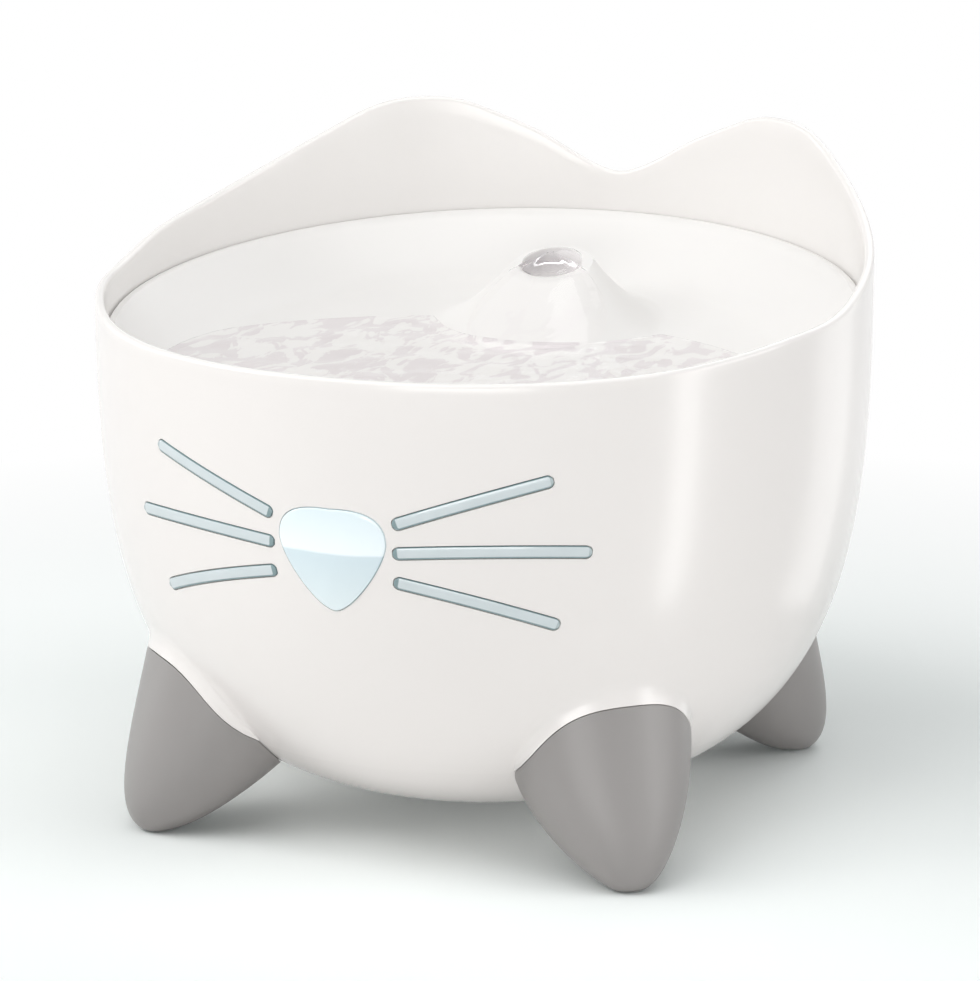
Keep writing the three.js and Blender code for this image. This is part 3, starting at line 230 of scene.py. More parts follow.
def skin_rings(rings, closed=False):
    """Points and faces that skin a run of rings of equal count. Open runs get a fan at each end."""
    count = len(rings[0])
    points = [tuple(p) for ring in rings for p in ring]
    faces = []
    pairs = len(rings) if closed else len(rings) - 1
    for k in range(pairs):
        near, far = k * count, ((k + 1) % len(rings)) * count
        for i in range(count):
            j = (i + 1) % count
            faces.append((near + i, near + j, far + j, far + i))
    if not closed:
        for k, flipped in ((0, True), (len(rings) - 1, False)):
            middle = len(points)
            points.append(tuple(np.mean(np.asarray(rings[k], float), axis=0)))
            for i in range(count):
                a, b = k * count + i, k * count + (i + 1) % count
                faces.append((middle, b, a) if flipped else (middle, a, b))
    return points, faces


def lofted(name, rings, closed=False, sharp=40):
    points, faces = skin_rings(rings, closed)
    piece = mesh_object(name, points, faces, sharp)
    turn_out(piece)
    return piece


def turn_out(piece):
    """Turns every face of a closed mesh to face out."""
    work = bmesh.new()
    work.from_mesh(piece.data)
    bmesh.ops.recalc_face_normals(work, faces=work.faces)
    work.to_mesh(piece.data)
    work.free()
    piece.data.update()


def cut_with(piece, tools, sharp):
    """Cuts closed tools out of a piece for good, then deletes the tools."""
    for tool in tools:
        step = piece.modifiers.new("cut", "BOOLEAN")
        step.operation, step.solver, step.object = "DIFFERENCE", "EXACT", tool
    bpy.context.view_layer.update()
    graph = bpy.context.evaluated_depsgraph_get()
    made = bpy.data.meshes.new_from_object(piece.evaluated_get(graph))
    piece.modifiers.clear()
    piece.data = made
    for tool in tools:
        bpy.data.objects.remove(tool)
    finish_normals(piece, sharp)


def joined(name, pieces, sharp):
    """One object from several, in one mesh."""
    points, faces = [], []
    for piece in pieces:
        start = len(points)
        points += [tuple(v.co / MM) for v in piece.data.vertices]
        faces += [tuple(start + i for i in f.vertices) for f in piece.data.polygons]
        bpy.data.objects.remove(piece)
    return mesh_object(name, points, faces, sharp)


def spun(rings, azimuth):
    """Rings laid out along +X, turned to an azimuth."""
    turn = (azimuth - 90) * DEGREE
    cos, sin = math.cos(turn), math.sin(turn)
    return [[(x * cos - y * sin, x * sin + y * cos, z) for x, y, z in ring] for ring in rings]


# Node groups and materials

def new_group(name, inputs, outputs):
    group = bpy.data.node_groups.new(name, "ShaderNodeTree")
    for label, kind, value in inputs:
        socket = group.interface.new_socket(label, in_out="INPUT", socket_type=kind)
        socket.default_value = value
    for label, kind in outputs:
        group.interface.new_socket(label, in_out="OUTPUT", socket_type=kind)
    return group, group.nodes.new("NodeGroupInput").outputs, group.nodes.new("NodeGroupOutput").inputs


def feed(tree, socket, value):
    """Links an output to a socket, or sets a plain value on it."""
    if isinstance(value, bpy.types.NodeSocket):
        tree.links.new(value, socket)
    else:
        socket.default_value = value


def settle(tree, made, values):
    for label, value in values.items():
        feed(tree, made.inputs[label], value)


def node(tree, kind, **settings):
    """A new node. Each setting is one of its inputs, or else one of its properties."""
    made = tree.nodes.new(kind)
    for key, value in settings.items():
        if key in made.inputs:
            feed(tree, made.inputs[key], value)
        else:
            setattr(made, key, value)
    return made


def mixed(tree, factor, first, second):
    """A colour between two, by a factor. Each may be a socket or a colour."""
    mix = node(tree, "ShaderNodeMix", data_type="RGBA")
    for i, value in ((0, factor), (6, first), (7, second)):
        feed(tree, mix.inputs[i], value)
    return mix.outputs[2]


def picked(tree, factor, first, second):
    """A shader between two, by a factor."""
    pick = tree.nodes.new("ShaderNodeMixShader")
    for socket, output in zip(pick.inputs, (factor, first.outputs[0], second.outputs[0])):
        tree.links.new(output, socket)
    return pick


def surfaced(tree, shader, root="Material Output"):
    tree.links.new(shader.outputs[0], tree.nodes[root].inputs["Surface"])


def ranged(tree, value, low, high, to_low=0.0, to_high=1.0):
    """A value moved from one range to another and held at its ends."""
    step = node(tree, "ShaderNodeMapRange", Value=value)
    settle(tree, step, {"From Min": low, "From Max": high, "To Min": to_low, "To Max": to_high})
    return step.outputs["Result"]


def reckoned(tree, operation, *values):
    step = node(tree, "ShaderNodeMath", operation=operation)
    for socket, value in zip(step.inputs, values):
        feed(tree, socket, value)
    return step.outputs[0]


def object_place(tree):
    return tree.nodes.new("ShaderNodeTexCoord").outputs["Object"]


def noise(tree, place, scale, detail=2.0, roughness=0.5, distortion=0.0):
    return node(tree, "ShaderNodeTexNoise", Vector=place, Scale=scale, Detail=detail, Roughness=roughness,
                Distortion=distortion).outputs["Fac"]


def moulded_group():
    """Moulded plastic: soft shade drift, gloss drift, fine grain and a little settled dust."""
    group, given, result = new_group(
        "moulded_plastic",
        [("Colour", "NodeSocketColor", (0.8, 0.8, 0.8, 1)), ("Drift", "NodeSocketFloat", 0.03),
         ("Gloss low", "NodeSocketFloat", 0.2), ("Gloss high", "NodeSocketFloat", 0.3),
         ("Grain scale", "NodeSocketFloat", 2500.0), ("Dust", "NodeSocketFloat", 0.03)],
        [("Colour", "NodeSocketColor"), ("Roughness", "NodeSocketFloat"), ("Height", "NodeSocketFloat")])
    place = object_place(group)
    drift = noise(group, place, 14.0, 3.0)
    gloss = noise(group, place, 55.0, 4.0, 0.6, 0.4)
    grain = noise(group, place, given["Grain scale"])
    dark = reckoned(group, "MULTIPLY", drift, given["Drift"])
    shade = mixed(group, dark, given["Colour"], (0.32, 0.30, 0.28, 1))
    normal = group.nodes.new("ShaderNodeNewGeometry").outputs["Normal"]
    split = node(group, "ShaderNodeSeparateXYZ", Vector=normal)
    facing_up = ranged(group, split.outputs["Z"], 0.55, 1.0)
    speckle = ranged(group, noise(group, place, 900.0, 3.0), 0.5, 0.75)
    dust = reckoned(group, "MULTIPLY", reckoned(group, "MULTIPLY", facing_up, speckle), given["Dust"])
    group.links.new(mixed(group, dust, shade, (0.62, 0.60, 0.57, 1)), result["Colour"])
    spread = reckoned(group, "SUBTRACT", given["Gloss high"], given["Gloss low"])
    group.links.new(reckoned(group, "MULTIPLY_ADD", gloss, spread, given["Gloss low"]), result["Roughness"])
    group.links.new(grain, result["Height"])
    return group


def ripple_group():
    """Moving water: long low waves with small ones on them, as a height and a mask for painted reflection
    patches.
    """
    group, given, result = new_group(
        "water_ripples",
        [("Wave scale", "NodeSocketFloat", 60.0), ("Patch level", "NodeSocketFloat", 0.5)],
        [("Height", "NodeSocketFloat"), ("Painted reflections", "NodeSocketFloat")])
    place = object_place(group)
    stretch = node(group, "ShaderNodeMapping", Vector=place, Scale=(1.2, 0.55, 1.0))
    swell = noise(group, stretch.outputs[0], given["Wave scale"], 3.0, 0.55, 1.1)
    group.links.new(swell, result["Height"])
    edge = reckoned(group, "SUBTRACT", swell, given["Patch level"])
    group.links.new(ranged(group, edge, -0.015, 0.03), result["Painted reflections"])
    return group


def fibre_group():
    """Felt, foam and rubber: mottled shade and a matted height."""
    group, given, result = new_group(
        "matted_fibres",
        [("Colour", "NodeSocketColor", (0.8, 0.8, 0.8, 1)),
         ("Mottle", "NodeSocketColor", (0.6, 0.6, 0.6, 1)), ("Scale", "NodeSocketFloat", 700.0)],
        [("Colour", "NodeSocketColor"), ("Height", "NodeSocketFloat")])
    place = object_place(group)
    cells = node(group, "ShaderNodeTexVoronoi", Vector=place, Scale=given["Scale"]).outputs["Distance"]
    blotch = noise(group, place, 90.0, 4.0)
    amount = reckoned(group, "MULTIPLY", blotch, ranged(group, cells, 0.0, 0.7))
    group.links.new(mixed(group, amount, given["Colour"], given["Mottle"]), result["Colour"])
    group.links.new(reckoned(group, "ADD", cells, blotch), result["Height"])
    return group


MOULDED = moulded_group()
RIPPLES = ripple_group()
FIBRES = fibre_group()


def new_material(name, metallic=0.0, ior=1.46, coat=0.0, transmission=0.0):
    made = bpy.data.materials.new(name)
    made.use_nodes = True
    tree = made.node_tree
    shader = tree.nodes["Principled BSDF"]
    settle(tree, shader, {"Metallic": metallic, "IOR": ior, "Coat Weight": coat, "Coat Roughness": 0.2,
                          "Transmission Weight": transmission})
    return made, tree, shader


def placed(tree, group, **values):
    """The outputs of a node group in a material, with its inputs set by name."""
    made = node(tree, "ShaderNodeGroup", node_tree=group)
    settle(tree, made, {key.replace("_", " ").capitalize(): value for key, value in values.items()})
    return made.outputs


def bumped(tree, shader, height, strength, distance):
    bump = node(tree, "ShaderNodeBump", Strength=strength, Distance=distance, Height=height)
    tree.links.new(bump.outputs["Normal"], shader.inputs["Normal"])


def plastic(name, colour, low, high, drift=0.03, grain=2500.0, bump=0.05, dust=0.03, coat=0.0,
            metallic=0.0, painted_glow=0.0):
    """Moulded plastic. A glow above zero adds a weak emission in the plastic's own colour: painted light
    that lifts every side alike, shaded ones too.
    """
    made, tree, shader = new_material(name, metallic, coat=coat)
    look = placed(tree, MOULDED, colour=(*colour, 1), drift=drift, gloss_low=low, gloss_high=high,
                  grain_scale=grain, dust=dust)
    settle(tree, shader, {"Base Color": look["Colour"], "Roughness": look["Roughness"]})
    if painted_glow:
        settle(tree, shader, {"Emission Color": look["Colour"], "Emission Strength": painted_glow})
    bumped(tree, shader, look["Height"], bump, 0.0002)
    return made


def matted(name, colour, mottle, scale, roughness, bump, sheen=0.0):
    made, tree, shader = new_material(name)
    look = placed(tree, FIBRES, colour=(*colour, 1), mottle=(*mottle, 1), scale=scale)
    settle(tree, shader, {"Base Color": look["Colour"], "Roughness": roughness, "Sheen Weight": sheen})
    bumped(tree, shader, look["Height"], bump, 0.0006)
    return made


def window_material():
    """The nose's clear plastic over water, with the lit view through it painted on: paler above the water
    line, bluer below it.
    """
    made, tree, shader = new_material("nose_clear", ior=1.49)
    place = object_place(tree)
    height = node(tree, "ShaderNodeSeparateXYZ", Vector=place).outputs["Z"]
    ripple = noise(tree, place, 70.0, 1.0)
    level = reckoned(tree, "MULTIPLY_ADD", ripple, 0.0012, height)
    above = ranged(tree, level, (WATER_LINE + 0.3) * MM, (WATER_LINE + 1.0) * MM)
    # Painted shade: the water darkens from the bottom up towards the line, and the air darkens from the
    # line upwards.
    deep = ranged(tree, height, 83 * MM, 98 * MM)
    water = mixed(tree, deep, (0.70, 0.80, 0.83, 1), (0.60, 0.72, 0.77, 1))
    high = ranged(tree, height, 101 * MM, 111 * MM)
    air = mixed(tree, high, (0.82, 0.91, 0.95, 1), (0.68, 0.79, 0.83, 1))
    colour = mixed(tree, above, water, air)
    # The emission is a painted glow.
    settle(tree, shader, {"Base Color": colour, "Emission Color": colour, "Emission Strength": 0.16,
                          "Roughness": 0.06, "Coat Weight": 0.6, "Coat Roughness": 0.03})
    bumped(tree, shader, noise(tree, place, 160.0, 1.0), 0.03, 0.0004)
    return made


def whisker_material():
    """Tinted clear plastic, with painted shade gathering at the strip's edges."""
    made, tree, shader = new_material("whisker_tint", ior=1.49)
    place = object_place(tree)
    shade = node(tree, "ShaderNodeAttribute", attribute_name="edge")
    streak = noise(tree, place, 120.0, 2.0)
    inner = mixed(tree, streak, (0.60, 0.69, 0.715, 1), (0.68, 0.755, 0.785, 1))
    # Painted shade: towards the marked edges the colour darkens to a deep grey-green.
    edge = ranged(tree, shade.outputs["Fac"], 0.45, 1.0)
    colour = mixed(tree, edge, inner, (0.22, 0.32, 0.34, 1))
    gloss = ranged(tree, noise(tree, place, 200.0, 2.0), 0.2, 0.8, 0.08, 0.2)
    settle(tree, shader, {"Base Color": colour, "Roughness": gloss, "Coat Weight": 0.5,
                          "Coat Roughness": 0.05})
    return made


def water_material(name, tint, patch, wave_scale, level, strength):
    """Clear water with ripples. Lamps shine through it, so the dish below stays lit. Darker patches painted
    into its colour stand for reflections in the ripples.
    """
    made, tree, shader = new_material(name, ior=1.33, transmission=1.0)
    look = placed(tree, RIPPLES, wave_scale=wave_scale, patch_level=level)
    settle(tree, shader, {"Base Color": mixed(tree, look["Painted reflections"], tint, patch), "Roughness": 0.03})
    bumped(tree, shader, look["Height"], strength, 0.002)
    clear = tree.nodes.new("ShaderNodeBsdfTransparent")
    ray = tree.nodes.new("ShaderNodeLightPath")
    lit = reckoned(tree, "MAXIMUM", ray.outputs["Is Shadow Ray"], ray.outputs["Is Diffuse Ray"])
    surfaced(tree, picked(tree, lit, shader, clear))
    return made


# The shell and the dish carry a painted glow, a weak emission that lifts their shaded sides.
SHELL_WHITE = plastic("gloss_white_shell", (0.845, 0.828, 0.812), 0.20, 0.27, drift=0.02, bump=0.02,
                      dust=0.0, coat=0.5, painted_glow=0.046)
DISH_WHITE = plastic("satin_white_dish", (0.84, 0.832, 0.82), 0.285, 0.335, drift=0.02, bump=0.01, dust=0.0,
                     painted_glow=0.019)
LEG_GREY = plastic("soft_grey_leg", (0.315, 0.306, 0.302), 0.34, 0.44, drift=0.10, grain=3200, bump=0.08,
                   dust=0.02)
NOSE_CLEAR = window_material()
WHISKER_TINT = whisker_material()
SEAL_WHITE = matted("silicone_seal", (0.70, 0.72, 0.72), (0.62, 0.64, 0.64), 900, 0.5, 0.05)
RUBBER_BLACK = matted("dark_rubber", (0.045, 0.046, 0.048), (0.09, 0.09, 0.092), 800, 0.72, 0.12)
SCREW_STEEL = plastic("screw_steel", (0.55, 0.55, 0.56), 0.25, 0.42, drift=0.15, bump=0.1, metallic=1.0)
TRAY_WHITE = plastic("tray_white", (0.78, 0.785, 0.785), 0.32, 0.45, drift=0.04, bump=0.06)
FELT_CREAM = matted("filter_felt", (0.76, 0.74, 0.68), (0.50, 0.48, 0.43), 520, 0.95, 0.6, sheen=0.3)
PUMP_DARK = plastic("pump_charcoal", (0.035, 0.037, 0.041), 0.38, 0.52, drift=0.25, grain=1500, bump=0.25)
PUMP_TRIM = plastic("pump_trim", (0.075, 0.08, 0.086), 0.34, 0.48, drift=0.2, grain=1500, bump=0.2)
LAMP_CLEAR = plastic("lamp_lens", (0.74, 0.86, 0.89), 0.06, 0.12, drift=0.05, bump=0.02, coat=0.5)
MAGNET_DARK = plastic("magnet_ferrite", (0.07, 0.064, 0.06), 0.35, 0.5, drift=0.3, bump=0.3)
CERAMIC = plastic("shaft_ceramic", (0.80, 0.78, 0.74), 0.16, 0.28, drift=0.05, bump=0.05)
FOAM_DARK = matted("intake_foam", (0.05, 0.055, 0.06), (0.012, 0.013, 0.015), 950, 1.0, 0.9)
HOSE_MILK = plastic("hose_silicone", (0.66, 0.70, 0.71), 0.28, 0.4, drift=0.06, bump=0.05)
# The darker lilac-grey patches on the pool, and the faint ones on the stream, are painted reflections in
# the ripples.
POOL_WATER = water_material("pool_water", (1.0, 0.995, 0.995, 1), (0.76, 0.70, 0.74, 1), 105, 0.50, 0.22)
STREAM_WATER = water_material("stream_water", (0.995, 0.985, 0.985, 1), (0.965, 0.945, 0.955, 1), 85, 0.56,
                              0.12)
# The spout nozzle's dark lilac-grey is painted shade for the inside of the mouth, seen through the water.
MOUTH_PAINTED_SHADE = plastic("spout_throat_painted_shade", (0.46, 0.385, 0.45), 0.25, 0.4, drift=0.1)


def dress(piece, material):
    piece.data.materials.clear()
    piece.data.materials.append(material)


# Camera, floor and lamps

def towards(azimuth, elevation):
    """The unit vector out from the object at an azimuth and elevation in degrees."""
    a, e = azimuth * DEGREE, elevation * DEGREE
    return Vector((math.sin(a) * math.cos(e), -math.cos(a) * math.cos(e), math.sin(e)))


def aim(thing, target):
    way = Vector(target) - thing.location
    thing.rotation_euler = way.to_track_quat("-Z", "Y").to_euler()


def make_camera():
    data = bpy.data.cameras.new("camera")
    data.lens, data.sensor_width = 169.79, 36.0
    data.clip_end = 20
    camera = new_object("camera", data)
    target = Vector((1.592, 0.643, 91.663)) * MM
    camera.location = target + towards(22, 13.808) * 1373.05 * MM
    aim(camera, target)
    bpy.context.scene.camera = camera


def seen_plainly(tree):
    """1 for the rays that show the background: straight, mirrored or seen through clear plastic."""
    ray = tree.nodes.new("ShaderNodeLightPath")
    gloss = reckoned(tree, "MAXIMUM", ray.outputs["Is Glossy Ray"], ray.outputs["Is Transmission Ray"])
    return reckoned(tree, "MAXIMUM", ray.outputs["Is Camera Ray"], gloss)


def floor_material():
    """A pale floor that fades into white around the object and keeps its shadow."""
    made, tree, shader = new_material("pale_floor")
    settle(tree, shader, {"Base Color": (0.88, 0.87, 0.865, 1), "Roughness": 0.9,
                          "Specular IOR Level": 0.0})
    place = object_place(tree)
    drift = ranged(tree, noise(tree, place, 6.0, 2.0), 0.3, 0.7)
    tone = mixed(tree, drift, (0.94, 0.98, 0.975, 1), (0.95, 0.99, 0.985, 1))
    paper = node(tree, "ShaderNodeBsdfDiffuse", Color=tone)
    glow = node(tree, "ShaderNodeEmission", Color=(0.85, 1.0, 0.99, 1), Strength=0.03)
    both = tree.nodes.new("ShaderNodeAddShader")
    tree.links.new(paper.outputs[0], both.inputs[0])
    tree.links.new(glow.outputs[0], both.inputs[1])
    white = node(tree, "ShaderNodeEmission", Color=(1, 1, 1, 1), Strength=1.0)
    spread = node(tree, "ShaderNodeVectorMath", operation="LENGTH", Vector=place)
    fade = picked(tree, ranged(tree, spread.outputs["Value"], FADE_START, FADE_END), both, white)
    surfaced(tree, picked(tree, seen_plainly(tree), shader, fade))
    return made


def make_floor():
    """A wide flat floor, which its material fades into the white background."""
    reach = 3000.0
    corners = [(-reach, -reach, 0), (reach, -reach, 0), (reach, reach, 0), (-reach, reach, 0)]
    floor = mesh_object("floor", corners, [(0, 1, 2, 3)])
    dress(floor, floor_material())


def lamp(name, azimuth, elevation, distance, size, power, colour=(1, 1, 1), glint=False):
    """A softbox aimed at the bowl. A glint shows in the gloss alone."""
    data = bpy.data.lights.new(name, "AREA")
    data.shape = "RECTANGLE"
    data.size, data.size_y = size
    data.energy, data.color = power, colour
    thing = new_object(name, data)
    middle = Vector((0, 0, 0.09))
    thing.location = middle + distance * towards(azimuth, elevation)
    aim(thing, middle)
    thing.visible_diffuse = not glint
    thing.visible_camera = False


def make_light():
    world = bpy.data.worlds.new("studio")
    bpy.context.scene.world = world
    world.use_nodes = True
    tree = world.node_tree
    back = tree.nodes["Background"]
    settle(tree, back, {"Color": (0.97, 1.0, 1.0, 1), "Strength": 0.08})
    white = node(tree, "ShaderNodeBackground", Color=(1, 1, 1, 1), Strength=1.0)
    surfaced(tree, picked(tree, seen_plainly(tree), back, white), "World Output")
    warm = (1.0, 0.99, 0.98)
    lamp("key_softbox", -64, 33, 1.7, (1.1, 1.1), 11.4, warm)
    lamp("left_low_softbox", -95, 4, 1.4, (0.8, 0.9), 2.2, warm)
    lamp("front_left_softbox", -20, 55, 1.6, (1.0, 1.0), 7.4, warm)
    lamp("front_low_softbox", 15, 2, 1.6, (1.2, 0.6), 9.3, warm)
    lamp("right_softbox", 98, 16, 1.5, (0.8, 0.9), 5.8, (1.0, 0.99, 0.985))
    lamp("top_softbox", 60, 74, 1.6, (1.2, 1.2), 8.6)
    lamp("back_softbox", 175, 45, 1.6, (1.2, 1.0), 4.0)
    lamp("right_glint", 68, 0, 0.226, (0.026, 0.18), 0.045, glint=True)
    lamp("rear_glint", 117.5, 0, 0.20, (0.07, 0.18), 0.032, glint=True)


# Bowl

def horn_rings(shares, count):
    """A leg and the hood above it are one horn: x is out along the leg, y sideways, z up."""
    angle = np.arange(count) * 2 * math.pi / count
    power = 2 / LEG_ROUNDNESS
    out = np.sign(np.cos(angle)) * np.abs(np.cos(angle)) ** power
    side = np.sign(np.sin(angle)) * np.abs(np.sin(angle)) ** power
    rings = []
    for share in shares:
        outer, inner = bezier(LEG_OUTER, share)[0], bezier(LEG_INNER, share)[0]
        half = bezier(LEG_HALF_WIDTHS, share)[0][1]
        middle, reach = (outer + inner) / 2, (outer - inner) / 2
        x, z = middle[0] + reach[0] * out, middle[1] + reach[1] * out
        rings.append(np.stack([x, half * side, z], axis=1))
    return rings


def horn_reach():
    """How far out the horn stands, as a table of azimuth offset by height."""
    points, faces = skin_rings(horn_rings(np.linspace(0, 1, 81), 160))
    tree = BVHTree.FromPolygons([Vector(p) for p in points], faces)
    offsets, heights = np.linspace(0, 24, 49), np.linspace(HORN_LOW, HORN_HIGH, 129)
    table = np.zeros((len(offsets), len(heights)))
    for i, offset in enumerate(offsets):
        way = Vector((-math.cos(offset * DEGREE), -math.sin(offset * DEGREE), 0))
        for k, height in enumerate(heights):
            hit = tree.ray_cast(Vector((0, 0, height)) - way * 160, way)[0]
            table[i, k] = math.hypot(hit.x, hit.y) if hit else 0.0
    return offsets, heights, table


HORN = horn_reach()


def horn_radius(offset, height):
    """The horn's reach at an azimuth offset from its leg and at each height."""
    offsets, heights, table = HORN
    offset = abs(offset)
    if offset >= offsets[-1]:
        return np.zeros_like(height)
    k = min(int(offset / offsets[1]), len(offsets) - 2)
    share = offset / offsets[1] - k
    low, high = np.interp(height, heights, table[k]), np.interp(height, heights, table[k + 1])
    return low * (1 - share) + high * share


def hooded_radius(offset, height):
    """The bowl's outside with the hood on it and a fillet in the corner between them."""
    bowl, horn = side_radius(height), horn_radius(offset, height)
    near = np.clip((FILLET - np.abs(bowl - horn)) / FILLET, 0, 1)
    return np.maximum(bowl, horn) + near**2 * FILLET / 4


def leg_offset(azimuth):
    """Degrees from the nearest leg."""
    return ((azimuth % 90) + 90) % 90 - 45


def seam_level(out, side):
    """Height of the seam between hood and leg: a slope along the leg, arched across it."""
    arch = SEAM_ARCH * (np.abs(side) / SEAM_ARCH_HALF) ** 4
    return SEAM_POINT[1] + (out - SEAM_POINT[0]) * SEAM_SLOPE - np.minimum(arch, 2 * SEAM_ARCH)


def seam_height(radius, offset):
    return seam_level(radius * np.cos(offset * DEGREE), radius * np.sin(offset * DEGREE))


def seam_crossing(offset, radius_at):
    """Height at which a surface first meets the seam from above. Clear of the leg it stays level."""
    offset = min(max(offset, -SEAM_REACH), SEAM_REACH)
    heights = np.linspace(HORN_HIGH, HORN_LOW, 641)
    over = heights - seam_height(radius_at(offset, heights), offset)
    k = int(np.argmax(over <= 0))
    low, high = over[k], over[k - 1]
    return heights[k] + (heights[k - 1] - heights[k]) * (0 - low) / (high - low)


def bowl_column(azimuth):
    """The bowl's section at an azimuth: up the outside, over the rim and down the inside."""
    offset = leg_offset(azimuth)
    rim = rim_height(azimuth)
    edge = seam_crossing(offset, hooded_radius)
    root = min(seam_crossing(offset, lambda _, z: side_radius(z)), edge - 0.35)
    radii, levels = side_skin(0)
    low_radius = float(np.interp(root, levels, radii))
    rows = []
    for share in np.linspace(0, 1, 26)[1:-1]:
        radius = low_radius * share
        rows.append((radius, max(np.interp(radius, radii, levels), SIDE_CURVE[0][1])))
    rows.append((low_radius, root))
    for share in np.linspace(0, 1, 27):
        height = edge + (HOOD_TOP - edge) * share
        rows.append((float(hooded_radius(offset, np.array([height]))[0]), height))
    top = rim - RIM_ROUND
    upper = WALL_MIDDLE + (top - WALL_MIDDLE) * np.linspace(0, 1, 12)[1:]
    for height in (*np.linspace(HOOD_TOP, WALL_MIDDLE, 15)[1:], *upper):
        rows.append((float(side_radius(height)), height))
    for radius, inward, turns in ((BOWL_RADIUS, -1, (22.5, 45, 67.5, 90)),
                                  (INNER_RADIUS, 1, (90, 67.5, 45, 22.5, 0))):
        for turn in turns:
            a = turn * DEGREE
            rows.append((radius + inward * RIM_ROUND * (1 - math.cos(a)), top + RIM_ROUND * math.sin(a)))
    ledge = edge_height(-INNER_RADIUS * math.cos(azimuth * DEGREE)) - DISH_WALL - SEAT_GAP
    for share in np.linspace(0, 1, 9)[1:]:
        rows.append((INNER_RADIUS, top + (ledge - top) * share))
    foot = ledge - LEDGE_DEPTH
    rows += [(INNER_RADIUS - LEDGE_WIDTH, ledge), (INNER_RADIUS - LEDGE_WIDTH, foot)]
    inner_r, inner_z = side_skin(SHELL_WALL)
    for height in np.linspace(foot - LEDGE_WIDTH, WALL_FOOT, 24):
        rows.append((float(np.interp(height, inner_z, inner_r)), height))
    low = float(np.interp(WALL_FOOT, inner_z, inner_r))
    for radius in np.linspace(low, FLOOR_RADIUS, 12)[1:]:
        rows.append((radius, float(np.interp(radius, inner_r, inner_z))))
    rows += [(FLOOR_RADIUS * share, FLOOR_TOP) for share in (0.66, 0.33)]
    return rows


def nose_outline(grow):
    """The nose's outline across the front, grown by a margin."""
    shares = np.linspace(0, 1, 25)
    right = np.concatenate([bezier(NOSE_CHEEK, shares)[:-1], bezier(NOSE_CHIN, shares)])
    right = right * (NOSE_HALF_WIDTH, NOSE_HEIGHT) + (0, NOSE_TIP)
    left = right[1:-1][::-1] * (-1, 1)
    points = np.concatenate([right, left])
    side = np.roll(points, -1, axis=0) - np.roll(points, 1, axis=0)
    side /= np.linalg.norm(side, axis=1)[:, None]
    return points + np.stack([-side[:, 1], side[:, 0]], axis=1) * grow


def nose_ring(grow, share, depth):
    """The outline shrunk to a share and standing off the bowl's outside by a depth."""
    flat = nose_outline(grow)
    x, z = flat[:, 0] * share, NOSE_MIDDLE + (flat[:, 1] - NOSE_MIDDLE) * share
    radius = side_radius(z) + depth
    return np.stack([x, -np.sqrt(radius**2 - x**2), z], axis=1)


def whisker_rings(heights, end_azimuth, side, margin, low, high, crown, steps=36):
    """Sections along a whisker, with rounded ends. Crown is how much the middle stands above the edge."""
    shares = np.linspace(0, 1, 41)
    middle = (WHISKER_START + end_azimuth) / 2
    turn = np.interp(shares, (0, 0.5, 1), (WHISKER_START, middle, end_azimuth))
    a, b, c = heights
    level = (2 * (shares - 0.5) * (shares - 1) * a + 4 * shares * (1 - shares) * b
             + 2 * shares * (shares - 0.5) * c)
    per_degree = DEGREE * float(side_radius(b))
    run = np.stack([np.gradient(turn) * per_degree, np.gradient(level)], axis=1)
    length = np.concatenate([[0], np.cumsum(np.linalg.norm(run, axis=1)[1:])])
    half = WHISKER_HALF_WIDTH + margin
    reach = half * 0.95
    spots = np.concatenate([-reach * np.cos(np.linspace(0.12, 1, 6)[:-1] * math.pi / 2),
                            np.linspace(0, length[-1], steps),
                            length[-1] + reach * np.sin(np.linspace(0, 0.88, 6)[1:] * math.pi / 2)])
    rings = []
    for spot in spots:
        beyond = min(spot, 0) + max(spot - length[-1], 0)
        inside = min(max(spot, 0), length[-1])
        at = np.array([np.interp(inside, length, turn), np.interp(inside, length, level)])
        way = np.array([np.interp(inside, length, run[:, 0]), np.interp(inside, length, run[:, 1])])
        way /= np.linalg.norm(way)
        width = half * math.sqrt(max(1 - (beyond / half) ** 2, 0.02))
        ring = []
        for across, depth in section(width, low, high, crown):
            height = at[1] + way[1] * beyond + way[0] * across
            azimuth = at[0] + (way[0] * beyond - way[1] * across) / per_degree
            ring.append(ring_points(float(side_radius(height)) + depth, [azimuth * side], height)[0])
        rings.append(ring)
    return rings


def section(width, low, high, crown):
    """Across a whisker: a flat back, upright sides and a softly crowned face."""
    soft = min(0.35, width * 0.4)
    face = [(width, high - 0.25), (width - soft * 0.3, high - 0.08), (width - soft, high)]
    inner = [(width * s, high + crown * (1 - s * s)) for s in (0.55, 0, -0.55)]
    other = [(-x, z) for x, z in reversed(face)]
    return [(-width, low), (width, low), *face, *inner, *other]


def tray_lug(azimuth):
    """A lug on the inside of the wall that carries the filter tray, with softened edges."""
    outer = float(side_radius(LUG_ROOT_HEIGHT, SHELL_WALL)) + LUG_SINK
    half, low, top, soft = LUG_HALF_WIDTH, LUG_LOW, LUG_TOP, LUG_SOFTENING
    outline = [(-half, low + soft), (-half + soft, low), (half - soft, low), (half, low + soft),
               (half, top - soft), (half - soft, top), (-half + soft, top), (-half, top - soft)]
    rings = [[(x, y, z) for y, z in outline] for x in np.linspace(LUG_INNER, outer, 3)]
    return lofted("tray_lug", spun(rings, azimuth))


